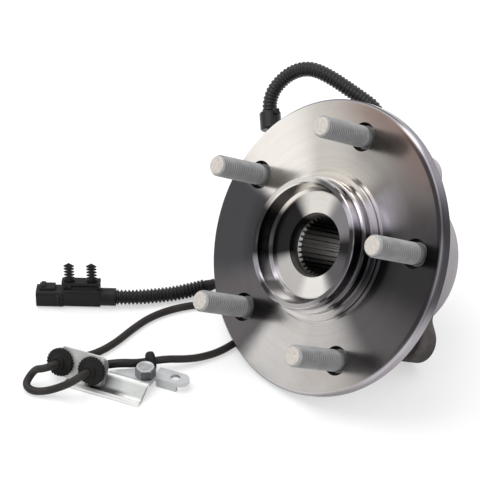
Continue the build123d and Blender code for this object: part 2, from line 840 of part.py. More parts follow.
conduit_route = [
    tail,
    tail - connector_way * 9.2,
    (-97.3, -57.0, 4.9),
    (-90.2, -42.5, 4.6),
    (-85.6, -28.0, 5.2),
]
write(cord("connector_conduit", conduit_route, conduit_diameter), "connector_conduit")

tape_start = Vector(*conduit_route[-1])
tape_way = (tape_start - Vector(*conduit_route[-2])).normalized()
tape_stop = tape_start + tape_way * tape_length
with BuildPart() as tape_wrap:
    with BuildSketch(Plane(origin=tape_start, z_dir=tape_way)):
        Circle(tape_diameter / 2)
    with BuildSketch(Plane(origin=tape_stop, z_dir=tape_way)):
        Circle(tape_diameter / 2 - 1)
    loft()
write(tape_wrap.part, "tape_wrap")

left_back = on_wall(grommet_spots[0], grommet_up_wall, sheet + grommet_lip)
lead_cable_route = [
    tape_stop,
    tape_stop + tape_way * 8,
    (-73.5, -0.5, 5.0),
    (-65.0, 2.5, 3.4),
    (-57.5, -3.5, 2.4),
    (-57.5, -13.5, 2.3),
    (-64.0, -23.5, 2.3),
    (-73.0, -33.0, 2.3),
    (-79.5, -44.5, 2.3),
    (-83.5, -57.0, 2.3),
    (-84.5, -70.5, 2.3),
    (-81.5, -84.5, 2.3),
    (-77.5, -98.0, 2.3),
    (-76.0, -110.5, 2.4),
    (-77.5, -120.0, 2.6),
    left_back + wall_back * 7,
    left_back,
]
write(cord("lead_cable", lead_cable_route, cable_diameter), "lead_cable")

body_start = connector_tail_length
shell_start = connector_tail_length + connector_body_length
mouth = shell_start + connector_shell_length
body_half = connector_body_top - tail.Z
with BuildPart() as connector_housing:
    with BuildSketch(connector_plane(0)):
        Circle(connector_tail_diameter / 2)
    extrude(amount=body_start)
    with BuildSketch(connector_plane(body_start)):
        with Locations((0, (body_half - tail.Z + 0.6) / 2)):
            RectangleRounded(connector_body_width, body_half + tail.Z - 0.6, 1.6)
    extrude(amount=connector_body_length)
    with BuildSketch(connector_plane(shell_start)):
        RectangleRounded(connector_shell_width, connector_shell_height, 3.0)
    extrude(amount=connector_shell_length)
    with BuildSketch(connector_plane(shell_start + 2)):
        RectangleRounded(connector_shell_width + 1.6, connector_shell_height - 4, 1.2)
    extrude(amount=2)
    with BuildSketch(connector_plane(mouth - connector_mouth_depth)):
        RectangleRounded(
            connector_shell_width - 2 * connector_wall, connector_shell_height - 2 * connector_wall, 2.0
        )
    extrude(amount=connector_mouth_depth + 1, mode=Mode.SUBTRACT)
    with BuildSketch(connector_plane(body_start + 1.5)):
        with Locations((0, body_half)):
            Rectangle(connector_body_width - 3, 2.4)
    extrude(amount=connector_body_length - 6, mode=Mode.SUBTRACT)
write(connector_housing.part, "connector_housing")

with BuildPart() as connector_blades:
    for side in (-1, 1):
        with BuildSketch(connector_plane(mouth - connector_mouth_depth)):
            with Locations((side * blade_spacing / 2, 0)):
                Rectangle(blade_thickness, blade_width)
        extrude(amount=connector_mouth_depth - blade_recess)
write(connector_blades.part, "connector_blades")

with BuildPart() as connector_lock:
    lock_foot = connector_shell_height / 2
    with BuildSketch(connector_plane(shell_start + 4.5)):
        with Locations((0, lock_foot + 0.9)):
            RectangleRounded(6.0, 1.8, 0.6)
    extrude(amount=connector_shell_length - 6.5)
    with BuildSketch(connector_plane(mouth - 5.5)):
        with Locations((0, lock_foot + 2.3)):
            Rectangle(4.4, 1.2)
    extrude(amount=2.4)
write(connector_lock.part, "connector_lock")

with BuildPart() as clip_rail:
    with BuildSketch(Plane(origin=at_connector(body_start, 0, rail_underside), x_dir=connector_way, z_dir=(0, 0, 1))):
        with Locations((connector_body_length / 2, 0)):
            RectangleRounded(connector_body_length + 1, rail_width, 1.0)
    extrude(amount=rail_thickness)
    for s in (body_start + 0.1, shell_start - 2.0):
        with BuildSketch(connector_plane(s)):
            with Locations((0, (body_half + rail_underside - tail.Z) / 2)):
                Rectangle(rail_width - 1, rail_underside - connector_body_top)
        extrude(amount=1.4)
write(clip_rail.part, "clip_rail")

with BuildPart() as fir_tree_clips:
    fin_pitch = (clip_height - 2.4) / clip_fins
    for spot in clip_spots:
        foot = at_connector(body_start + spot, 0, rail_underside + rail_thickness)
        outline = [(0, 0), (clip_diameter / 2, 0), (clip_diameter / 2, 0.8), (clip_stem / 2, 0.9)]
        for i in range(clip_fins):
            base = 1.8 + i * fin_pitch
            outline += [
                (clip_stem / 2, base),
                (clip_diameter / 2, base + 0.2),
                (clip_stem / 2 + 0.5, base + fin_pitch * 0.75),
                (clip_stem / 2, base + fin_pitch * 0.75),
            ]
        outline += [(0.6, clip_height), (0, clip_height)]
        with BuildSketch(Plane(origin=foot, x_dir=connector_way, z_dir=connector_side * -1)):
            with BuildLine():
                Polyline(*outline, close=True)
            make_face()
        revolve(axis=Axis(foot, (0, 0, 1)))
write(fir_tree_clips.part, "fir_tree_clips")
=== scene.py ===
"""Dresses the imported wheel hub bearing: threads, corrugated conduits, cables, tape and finishes."""

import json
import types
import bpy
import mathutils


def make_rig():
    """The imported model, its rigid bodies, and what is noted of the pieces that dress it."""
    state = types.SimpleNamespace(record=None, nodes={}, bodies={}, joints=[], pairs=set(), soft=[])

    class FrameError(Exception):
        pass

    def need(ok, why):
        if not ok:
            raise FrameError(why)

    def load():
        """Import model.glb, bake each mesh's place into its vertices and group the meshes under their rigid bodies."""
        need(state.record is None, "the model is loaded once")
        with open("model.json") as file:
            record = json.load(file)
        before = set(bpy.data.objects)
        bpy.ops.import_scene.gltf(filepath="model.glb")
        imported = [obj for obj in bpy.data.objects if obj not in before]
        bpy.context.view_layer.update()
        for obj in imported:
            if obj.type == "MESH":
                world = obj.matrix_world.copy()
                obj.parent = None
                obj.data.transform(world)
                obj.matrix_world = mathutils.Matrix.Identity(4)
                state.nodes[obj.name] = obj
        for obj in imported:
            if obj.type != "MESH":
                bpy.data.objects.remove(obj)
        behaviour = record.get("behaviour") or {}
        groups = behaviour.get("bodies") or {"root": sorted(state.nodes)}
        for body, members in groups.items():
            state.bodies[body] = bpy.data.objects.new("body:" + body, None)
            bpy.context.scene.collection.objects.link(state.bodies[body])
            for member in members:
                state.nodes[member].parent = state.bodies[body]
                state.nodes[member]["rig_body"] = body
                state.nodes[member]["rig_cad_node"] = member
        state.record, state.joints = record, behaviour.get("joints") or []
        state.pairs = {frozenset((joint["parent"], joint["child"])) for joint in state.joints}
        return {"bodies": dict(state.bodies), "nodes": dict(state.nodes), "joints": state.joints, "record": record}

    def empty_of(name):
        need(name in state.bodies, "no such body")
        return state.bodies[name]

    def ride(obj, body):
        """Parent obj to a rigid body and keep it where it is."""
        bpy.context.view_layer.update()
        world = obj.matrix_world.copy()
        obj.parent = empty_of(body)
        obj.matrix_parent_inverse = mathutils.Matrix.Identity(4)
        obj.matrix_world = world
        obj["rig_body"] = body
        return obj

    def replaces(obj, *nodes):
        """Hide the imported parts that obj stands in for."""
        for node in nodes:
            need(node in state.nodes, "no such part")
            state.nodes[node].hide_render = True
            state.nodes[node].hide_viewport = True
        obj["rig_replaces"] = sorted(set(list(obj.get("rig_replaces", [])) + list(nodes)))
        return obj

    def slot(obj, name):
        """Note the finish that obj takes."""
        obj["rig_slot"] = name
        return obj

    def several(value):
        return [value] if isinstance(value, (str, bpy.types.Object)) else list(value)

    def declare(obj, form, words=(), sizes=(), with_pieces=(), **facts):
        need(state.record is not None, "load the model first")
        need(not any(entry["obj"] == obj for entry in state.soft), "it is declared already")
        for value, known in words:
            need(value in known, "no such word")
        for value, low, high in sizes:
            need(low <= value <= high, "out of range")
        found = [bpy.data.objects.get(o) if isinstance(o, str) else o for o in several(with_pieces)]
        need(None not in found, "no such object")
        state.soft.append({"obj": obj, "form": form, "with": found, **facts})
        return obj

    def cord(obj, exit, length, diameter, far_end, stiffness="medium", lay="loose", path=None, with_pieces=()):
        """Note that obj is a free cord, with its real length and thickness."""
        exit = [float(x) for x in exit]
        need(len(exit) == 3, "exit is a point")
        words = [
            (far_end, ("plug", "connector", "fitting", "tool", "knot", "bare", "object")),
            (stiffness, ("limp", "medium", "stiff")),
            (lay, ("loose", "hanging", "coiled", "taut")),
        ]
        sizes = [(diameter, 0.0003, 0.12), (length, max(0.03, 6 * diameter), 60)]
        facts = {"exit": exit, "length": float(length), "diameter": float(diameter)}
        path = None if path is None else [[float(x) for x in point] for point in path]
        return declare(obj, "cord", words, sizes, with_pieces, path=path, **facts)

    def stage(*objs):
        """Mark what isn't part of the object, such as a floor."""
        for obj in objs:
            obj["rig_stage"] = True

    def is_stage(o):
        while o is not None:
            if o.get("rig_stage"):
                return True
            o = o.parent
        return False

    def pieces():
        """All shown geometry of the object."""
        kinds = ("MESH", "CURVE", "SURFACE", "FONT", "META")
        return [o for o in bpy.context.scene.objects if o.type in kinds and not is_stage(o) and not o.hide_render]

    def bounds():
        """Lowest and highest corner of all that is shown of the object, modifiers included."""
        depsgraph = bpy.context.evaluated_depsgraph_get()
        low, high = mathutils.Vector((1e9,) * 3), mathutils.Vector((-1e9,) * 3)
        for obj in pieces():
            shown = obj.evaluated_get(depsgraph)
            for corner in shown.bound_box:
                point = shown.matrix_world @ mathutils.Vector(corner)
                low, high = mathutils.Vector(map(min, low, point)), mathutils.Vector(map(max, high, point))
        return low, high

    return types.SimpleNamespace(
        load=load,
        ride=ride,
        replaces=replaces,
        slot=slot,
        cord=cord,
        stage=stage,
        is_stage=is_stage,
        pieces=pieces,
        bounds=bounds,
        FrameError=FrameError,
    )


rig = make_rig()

bl_info = {
    "name": "Wheel hub bearing looks",
    "version": (1, 0, 0),
    "blender": (4, 5, 0),
    "location": "View3D > Sidebar > Hub bearing",
    "description": "Threads, conduits, cables and finishes for the packed wheel hub bearing",
    "category": "Object",
}

import json
import math

import bpy
from mathutils import Matrix, Vector

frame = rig.load()
nodes = frame["nodes"]
cad_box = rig.bounds()

HUB_LEAN = math.radians(30.69756)
HUB_MIDDLE = Vector((0, -0.014249, 0.0731051))
AXIS_OUT = Vector((0, -math.cos(HUB_LEAN), math.sin(HUB_LEAN)))
RADIAL_UP = Vector((0, math.sin(HUB_LEAN), math.cos(HUB_LEAN)))
ACROSS = Vector((1, 0, 0))
UP = Vector((0, 0, 1))

STUD_ANGLES = [math.radians(-4.6 + 72 * i) for i in range(5)]
STUD_CIRCLE = 0.0635
STUD_SIDES = 40
STUD_RADIUS = 0.0060
# One stud from its head to the start of its thread: heights from the flange's face, and radii.
STUD_BODY = [
    (-0.0165, 0.0083),
    (-0.0165, 0.0089),
    (-0.0161, 0.0095),
    (-0.0124, 0.0095),
    (-0.0120, 0.0091),
    (-0.0120, 0.0064),
    (-0.0030, 0.0064),
    (-0.0029, 0.0058),
    (0.0018, 0.0058),
]
THREAD_START = 0.0018
THREAD_END = 0.0340
THREAD_STEPS = 184
STUD_TIP = 0.0360
STUD_TIP_RADIUS = 0.0041

# Distances from the hub axis between which one kind of surface gives way to the next.
TEETH_TO_BORE = (0.0160, 0.0172)
TEETH_TO_TURNED = (0.0172, 0.0182)
BORE_TO_WALL = (0.0280, 0.0300)
WALL_TO_FACE = (0.0362, 0.0372)
FACE_TO_CHAMFER = (0.0770, 0.0780)
CHAMFER_TO_RIM = (0.0797, 0.0803)
FACE_TO_RIM = (0.0795, 0.0802)
BODY_TO_EARS = (0.0412, 0.0424)

# Distances from the hub axis of two edges, worn and with a painted highlight, and of the neck, and from a stud's axis
# of its recess, where shade is painted.
RIM_EDGE = 0.0801
PILOT_EDGE = 0.0355
NECK = 0.0415
RECESS_EDGE = (0.0079, 0.0082)

# The bracket's corner on the floor, and its ways along and across.
BRACKET_CORNER = Vector((-0.0661, -0.1426, 0))
BRACKET_TURN = math.radians(27)
BRACKET_ALONG = Vector((math.cos(BRACKET_TURN), math.sin(BRACKET_TURN), 0))
BRACKET_ACROSS = Vector((-BRACKET_ALONG.y, BRACKET_ALONG.x, 0))

# The bracket's wall leans back; its grommets stand at these places along it, at one height.
WALL_FOOT = 0.0038
WALL_LEAN = math.radians(22)
WALL_BACK = BRACKET_ACROSS * math.cos(WALL_LEAN) - UP * math.sin(WALL_LEAN)
WALL_RISE = BRACKET_ACROSS * math.sin(WALL_LEAN) + UP * math.cos(WALL_LEAN)
GROMMETS = {"left": -0.0047, "right": 0.0146}
GROMMET_HEIGHT = 0.0108
GROMMET_NOSE = -0.0060
GROMMET_BACK = 0.0050


def at_bracket(along, across, up):
    """A place on the bracket, from its corner on the floor."""
    return BRACKET_CORNER + BRACKET_ALONG * along + BRACKET_ACROSS * across + UP * up


def on_wall(along, up, back=0.0):
    """A place on the bracket's wall: up its front face, and behind it."""
    return at_bracket(along, WALL_FOOT, 0) + WALL_RISE * up + WALL_BACK * back


def through(*places):
    """A route through places, each to a hundredth of a millimetre."""
    return [tuple(round(part, 5) for part in place) for place in places]


BOLT_SEAT = at_bracket(0.0406, 0.0206, 0.0057)
LEFT_NOSE, RIGHT_NOSE = [on_wall(along, GROMMET_HEIGHT, GROMMET_NOSE) for along in GROMMETS.values()]
LEFT_BACK, RIGHT_BACK = [on_wall(along, GROMMET_HEIGHT, GROMMET_BACK) for along in GROMMETS.values()]

# The sensor's outlet, which points away from the hub axis.
OUTLET_TURN = math.radians(-36)
OUTLET_WAY = RADIAL_UP * math.cos(OUTLET_TURN) + ACROSS * math.sin(OUTLET_TURN)
OUTLET = HUB_MIDDLE + AXIS_OUT * -0.0610 + OUTLET_WAY * 0.0730

# The collar between the first conduit and the cable.
COLLAR_TOP = Vector((-0.1052, 0.0367, 0.0906))
COLLAR_WAY = Vector((0.60, -0.40, -0.70)).normalized()
COLLAR_END = COLLAR_TOP + COLLAR_WAY * 0.0110

# The rubber stop on the cable behind the bracket.
STOP_LENGTH = 0.0050
STOP_TURN = math.radians(66)
STOP_WAY = Vector((math.cos(STOP_TURN), math.sin(STOP_TURN), 0))
STOP_FOOT = at_bracket(0.0382, 0.0320, 0.0066) - STOP_WAY * (STOP_LENGTH / 2)
STOP_END = STOP_FOOT + STOP_WAY * STOP_LENGTH

# The tape between the cable and the second conduit, in line with the conduit's first bend.
TAPE_START = Vector((-0.0856, -0.0280, 0.0052))
TAIL_BEND = Vector((-0.0902, -0.0425, 0.0046))
TAPE_WAY = (TAPE_START - TAIL_BEND).normalized()
TAPE_END = TAPE_START + TAPE_WAY * 0.0120

# The connector's tail and way, and where its two clips stand on the rail.
CONNECTOR_TAIL = Vector((-0.1094, -0.0751, 0.0056))
CONNECTOR_TURN = math.radians(228.6)
CONNECTOR_WAY = Vector((math.cos(CONNECTOR_TURN), math.sin(CONNECTOR_TURN), 0))
RAIL_START = Vector((CONNECTOR_TAIL.x, CONNECTOR_TAIL.y, 0.0166))
CLIP_FEET = [RAIL_START + CONNECTOR_WAY * along for along in (0.0135, 0.0265)]
CLIP_HEIGHT = 0.0120
CLIP_STEM = 0.0011
CLIP_REACH = 0.0032
CLIP_DEPTH = 0.0014
CLIP_FINS = 4

# The lead's routes, in metres, from the sensor towards the connector.
ARCH_ROUTE = through(
    OUTLET,
    OUTLET + OUTLET_WAY * 0.0130,
    (-0.066, 0.0685, 0.1085),
    (-0.087, 0.0625, 0.1155),
    (-0.099, 0.058, 0.1155),
    (-0.1085, 0.051, 0.1085),
    COLLAR_TOP - COLLAR_WAY * 0.0095,
    COLLAR_TOP,
)
REAR_ROUTE = through(
    COLLAR_END,
    COLLAR_END + COLLAR_WAY * 0.0080,
    (-0.084, 0.025, 0.062),
    (-0.074, 0.023, 0.044),
    (-0.065, 0.02, 0.026),
    (-0.056, 0.012, 0.011),
    (-0.0475, 0.0, 0.0032),
    (-0.042, -0.014, 0.0023),
    (-0.0385, -0.03, 0.0023),
    (-0.035, -0.045, 0.0023),
    (-0.0338, -0.0585, 0.0023),
    (-0.0358, -0.07, 0.0029),
    (-0.0384, -0.0794, 0.0046),
    STOP_END + STOP_WAY * 0.0060,
    STOP_END,
)
SLEEVE_ROUTE = through(
    STOP_FOOT,
    STOP_FOOT - STOP_WAY * 0.0050,
    at_bracket(0.0250, 0.0234, 0.0074),
    at_bracket(0.0175, 0.0211, 0.0058),
    RIGHT_BACK + WALL_BACK * 0.0050,
    RIGHT_BACK,
)
LOOP_ROUTE = through(
    RIGHT_NOSE,
    RIGHT_NOSE - WALL_BACK * 0.0068,
    (-0.053, -0.1452, 0.0119),
    (-0.0586, -0.1492, 0.0071),
    (-0.0643, -0.1548, 0.0036),
    (-0.0703, -0.16, 0.0024),
    (-0.0769, -0.1602, 0.003),
    (-0.0787, -0.155, 0.0065),
    (-0.0751, -0.1534, 0.0117),
    (-0.0706, -0.1529, 0.0142),
    LEFT_NOSE - WALL_BACK * 0.0068,
    LEFT_NOSE,
)
LEAD_ROUTE = through(
    LEFT_BACK,
    LEFT_BACK + WALL_BACK * 0.0070,
    (-0.0775, -0.12, 0.0026),
    (-0.076, -0.1105, 0.0024),
    (-0.0775, -0.098, 0.0023),
    (-0.0815, -0.0845, 0.0023),
    (-0.0845, -0.0705, 0.0023),
    (-0.0835, -0.057, 0.0023),
    (-0.0795, -0.0445, 0.0023),
    (-0.073, -0.033, 0.0023),
    (-0.064, -0.0235, 0.0023),
    (-0.0575, -0.0135, 0.0023),
    (-0.0575, -0.0035, 0.0024),
    (-0.065, 0.0025, 0.0034),
    (-0.0735, -0.0005, 0.005),
    TAPE_END + TAPE_WAY * 0.0080,
    TAPE_END,
)
TAIL_ROUTE = through(
    TAPE_START,
    TAIL_BEND,
    (-0.0973, -0.057, 0.0049),
    CONNECTOR_TAIL - CONNECTOR_WAY * 0.0092,
    CONNECTOR_TAIL,
)


# ------------------------------------------------------------------ sizes and colours
class HubLooks(bpy.types.PropertyGroup):
    """Sizes and colours that a user of the part would change."""

    thread_pitch: bpy.props.FloatProperty(
        name="Thread pitch", description="Pitch of the stud threads", default=0.0015, unit="LENGTH"
    )
    thread_depth: bpy.props.FloatProperty(
        name="Thread depth", description="Depth of the stud threads", default=0.00082, unit="LENGTH"
    )
    steel: bpy.props.FloatVectorProperty(
        name="Machined steel",
        description="Colour of the turned flange",
        default=(0.135, 0.128, 0.132),
        subtype="COLOR",
    )
    stud_steel: bpy.props.FloatVectorProperty(
        name="Stud steel",
        description="Colour of the wheel studs",
        default=(0.275, 0.275, 0.28),
        subtype="COLOR",
    )
    cast_iron: bpy.props.FloatVectorProperty(
        name="Cast iron", description="Colour of the carrier", default=(0.30, 0.285, 0.30), subtype="COLOR"
    )
    zinc: bpy.props.FloatVectorProperty(
        name="Zinc",
        description="Colour of the bracket",
        default=(0.54, 0.55, 0.53),
        subtype="COLOR",
    )


class LeadLooks(bpy.types.PropertyGroup):
    """Sizes and colours of the sensor lead."""

    conduit: bpy.props.FloatProperty(
        name="Conduit diameter", description="Diameter over the ribs", default=0.0088, unit="LENGTH"
    )
    rib_pitch: bpy.props.FloatProperty(
        name="Rib pitch", description="Distance from rib to rib", default=0.0022, unit="LENGTH"
    )
    rib_depth: bpy.props.FloatProperty(
        name="Rib depth", description="Depth of the grooves between ribs", default=0.00105, unit="LENGTH"
    )
    cable: bpy.props.FloatProperty(
        name="Cable diameter", description="Diameter of the thin cable", default=0.0043, unit="LENGTH"
    )
    sleeve: bpy.props.FloatProperty(
        name="Sleeve diameter", description="Diameter of the cable sleeve", default=0.0049, unit="LENGTH"
    )
    jacket: bpy.props.FloatVectorProperty(
        name="Cable jacket",
        description="Colour of the cable",
        default=(0.020, 0.0172, 0.0165),
        subtype="COLOR",
    )
    plastic: bpy.props.FloatVectorProperty(
        name="Moulded plastic",
        description="Colour of connector, conduits and sensor",
        default=(0.0065, 0.006, 0.006),
        subtype="COLOR",
    )
    rubber: bpy.props.FloatVectorProperty(
        name="Rubber", description="Colour of the grommets", default=(0.007, 0.0068, 0.0065), subtype="COLOR"
    )


# ------------------------------------------------------------------ shader nodes
class Value:
    """A shader socket that can be used in sums."""

    def __init__(self, owner, socket):
        self.owner = owner
        self.socket = socket

    def sum(self, operation, *others):
        """A Math node on this value and others."""
        return self.owner.maths(operation, self, *others)

    def __add__(self, other):
        return self.sum("ADD", other)

    __radd__ = __add__

    def __mul__(self, other):
        return self.sum("MULTIPLY", other)

    __rmul__ = __mul__

    def __sub__(self, other):
        return self.sum("SUBTRACT", other)

    def __rsub__(self, other):
        return self.owner.maths("SUBTRACT", other, self)

    def __truediv__(self, other):
        return self.sum("DIVIDE", other)

    def __pow__(self, other):
        return self.sum("POWER", other)

    def ramp(self, low, high, start=0.0, end=1.0):
        """Smooth step from start to end as the value goes from low to high."""
        numbers = {"From Min": low, "From Max": high, "To Min": start, "To Max": end}
        settings = {"interpolation_type": "SMOOTHSTEP"}
        return self.owner.get("ShaderNodeMapRange", "Result", settings, Value=self, **numbers)

    def near(self, middle, width):
        """1 at the middle, falling smoothly to 0 at width from it."""
        return (self - middle).sum("ABSOLUTE").ramp(0, width, 1, 0)


class Shading:
    """A node tree, with short ways to add to it."""

    def __init__(self, tree):
        self.tree = tree

    def feed(self, socket, what):
        """Links a value to a socket, or sets the socket's number or colour."""
        if isinstance(what, Value):
            self.tree.links.new(what.socket, socket)
        elif hasattr(what, "__len__"):
            socket.default_value = (*what, 1) if len(socket.default_value) == 4 else what
        else:
            socket.default_value = what

    def node(self, kind, settings, sockets):
        """Adds a node: its settings first, then its sockets by place or name."""
        node = self.tree.nodes.new(kind)
        for key, setting in dict(settings).items():
            setattr(node, key, setting)
        for place, what in sockets.items():
            self.feed(node.inputs[place], what)
        return node

    def get(self, kind, output, settings=(), sockets=(), **named):
        """One output of a new node, as a value."""
        node = self.node(kind, settings, {**dict(sockets), **named})
        return Value(self, node.outputs[output])

    def maths(self, operation, *terms):
        """A Math node on terms in their order."""
        return self.get("ShaderNodeMath", 0, {"operation": operation}, enumerate(terms))

    def vector(self, operation, first, second, output="Vector"):
        """A Vector Math node on two vectors."""
        return self.get("ShaderNodeVectorMath", output, {"operation": operation}, {0: first, 1: second})

    def mix(self, factor, first, second, blend="MIX"):
        """Mixes two colours."""
        settings = {"data_type": "RGBA", "blend_type": blend}
        return self.get("ShaderNodeMix", 2, settings, {0: factor, 6: first, 7: second})

    def blend(self, factor, first, second):
        """Mixes two shaders."""
        return self.get("ShaderNodeMixShader", 0, (), {0: factor, 1: first, 2: second})


class Finish(Shading):
    """A procedural material with one Principled shader."""

    def __init__(self, name, colour, roughness, metallic=0.0, **fixed):
        self.material = bpy.data.materials.new(name)
        self.material.use_nodes = True
        self.material.diffuse_color = (*colour, 1)
        super().__init__(self.material.node_tree)
        self.shader = self.tree.nodes["Principled BSDF"]
        self.colour(colour)
        self.rough(roughness)
        self.feed(self.shader.inputs["Metallic"], metallic)
        for key, number in fixed.items():
            self.shader.inputs[key.replace("_", " ")].default_value = number
        self.place = self.get("ShaderNodeTexCoord", "Object")

    def along(self, direction, place=None):
        """How far the surface point lies along a direction."""
        return self.vector("DOT_PRODUCT", place or self.place, tuple(direction), "Value")

    def noise(self, scale, detail=3.0, roughness=0.55):
        """Noise over the surface."""
        numbers = {"Scale": scale, "Detail": detail, "Roughness": roughness}
        return self.get("ShaderNodeTexNoise", "Fac", Vector=self.place, **numbers)

    def streaks(self, along, scale, detail=4.0):
        """Noise that changes along one value only."""
        settings = {"noise_dimensions": "1D"}
        return self.get("ShaderNodeTexNoise", "Fac", settings, W=along, Scale=scale, Detail=detail)

    def colour(self, what):
        self.feed(self.shader.inputs["Base Color"], what)

    def rough(self, what):
        self.feed(self.shader.inputs["Roughness"], what)

    def bump(self, height, distance):
        """Raises the surface by a height from 0 to 1 times the distance, in metres."""
        normal = self.get("ShaderNodeBump", "Normal", Height=height, Distance=distance)
        self.feed(self.shader.inputs["Normal"], normal)


def hub_measures(finish):
    """Distance from the hub axis, place along it, and the two sideways places."""
    local = finish.vector("SUBTRACT", finish.place, tuple(HUB_MIDDLE))
    x = finish.along(ACROSS, local)
    y = finish.along(RADIAL_UP, local)
    z = finish.along(AXIS_OUT, local)
    radius = (x * x + y * y) ** 0.5
    return radius, z, x, y


# ------------------------------------------------------------------ finishes
def sector(x, y, degrees, half, soft):
    """1 inside a sector round an axis, falling softly to 0 outside it."""
    radius = (x * x + y * y) ** 0.5
    turn = math.radians(degrees)
    facing = (x * math.sin(turn) + y * math.cos(turn)) / radius
    outer = math.cos(math.radians(min(180, half + soft)))
    inner = math.cos(math.radians(max(0, half - soft)))
    return facing.ramp(outer, inner)


def sectors(finish, tone, x, y, table):
    """Lays soft sectors of colour round an axis over a tone, one for each row of a table: painted reflections, light
    and shade.
    """
    for degrees, half, soft, colour in table:
        tone = finish.mix(sector(x, y, degrees, half, soft), tone, colour)
    return tone


# Painted reflections, light and dark sectors round the hub axis: degrees from its top, half width, softness and
# colour.
FACE_PAINTED_REFLECTIONS = [
    (34, 16, 24, (0.088, 0.083, 0.087)),
    (12, 22, 24, (0.20, 0.182, 0.174)),
    (-14, 22, 26, (0.34, 0.32, 0.298)),
    (-40, 20, 24, (0.58, 0.55, 0.51)),
    (-62, 14, 16, (0.90, 0.86, 0.80)),
    (-106, 25, 5, (0.066, 0.066, 0.072)),
    (-147, 16, 10, (0.130, 0.120, 0.124)),
    (126, 20, 22, (0.110, 0.104, 0.107)),
    (157, 20, 20, (0.52, 0.50, 0.48)),
    (178, 15, 6, (0.60, 0.58, 0.56)),
]
WALL_PAINTED_REFLECTIONS = [
    (-42, 30, 12, (0.68, 0.65, 0.61)),
    (8, 16, 10, (0.12, 0.112, 0.115)),
    (38, 9, 7, (0.50, 0.48, 0.53)),
    (118, 26, 18, (0.12, 0.115, 0.12)),
    (158, 22, 14, (0.40, 0.385, 0.38)),
    (-141, 10, 7, (0.30, 0.29, 0.32)),
]
BORE_PAINTED_REFLECTIONS = [
    (-18, 30, 14, (0.74, 0.72, 0.68)),
    (28, 22, 14, (0.22, 0.21, 0.22)),
    (152, 34, 16, (0.80, 0.77, 0.73)),
    (104, 18, 14, (0.11, 0.105, 0.11)),
    (-162, 28, 10, (0.50, 0.48, 0.46)),
]
RIM_PAINTED_REFLECTIONS = [
    (32, 14, 12, (0.26, 0.25, 0.28)),
    (68, 20, 12, (0.040, 0.038, 0.043)),
    (116, 18, 14, (0.36, 0.34, 0.37)),
    (158, 18, 16, (0.28, 0.265, 0.285)),
]


def flange_face(f, colour, radius, x, y, drift):
    """Tones of the flange's face: painted reflections in soft sectors, dark painted reflections and a painted
    highlight beside the pilot, a brown painted reflection and a pale painted highlight streak.
    """
    tone = sectors(f, tuple(c * 0.27 for c in colour), x + drift, y - drift, FACE_PAINTED_REFLECTIONS)
    # Dark painted reflections in two sectors beside the pilot.
    dark_reflection = sector(x, y, -106, 18, 10) + sector(x, y, 78, 12, 16)
    tone = f.mix(radius.ramp(0.038, 0.062, 0.9, 0.0) * dark_reflection, tone, (0.016, 0.015, 0.017))
    # Painted highlight beside the pilot.
    pilot_highlight = radius.ramp(0.038, 0.060, 0.75, 0.0) * sector(x, y, -8, 20, 14)
    tone = f.mix(pilot_highlight, tone, (0.60, 0.56, 0.51))
    # Brown painted reflection towards the rim.
    brown_reflection = radius.ramp(0.058, 0.078, 0.0, 0.6) * sector(x, y, 8, 22, 18)
    tone = f.mix(brown_reflection, tone, (0.24, 0.150, 0.125))
    # A pale streak of painted highlight.
    streak = radius.ramp(0.038, 0.066, 1.0, 0.0) * sector(x, y, 40, 9, 8)
    return f.mix(streak * 0.8, tone, (0.40, 0.38, 0.43))


def stud_recess_shade(radius, z, x, y):
    """1 in the shallow rounds where the studs stand, where shade is painted: all five are folded into one stud's share
    of a turn.
    """
    around = x.sum("ARCTAN2", y) - STUD_ANGLES[0]
    apart = around.sum("WRAP", math.tau / 10, -math.tau / 10)
    sideways = radius * apart.sum("SINE")
    inward = radius * apart.sum("COSINE") - STUD_CIRCLE
    gap = (sideways * sideways + inward * inward) ** 0.5
    return gap.ramp(*RECESS_EDGE, 1.0, 0.0) * z.ramp(-0.0006, -0.0001, 1.0, 0.0)


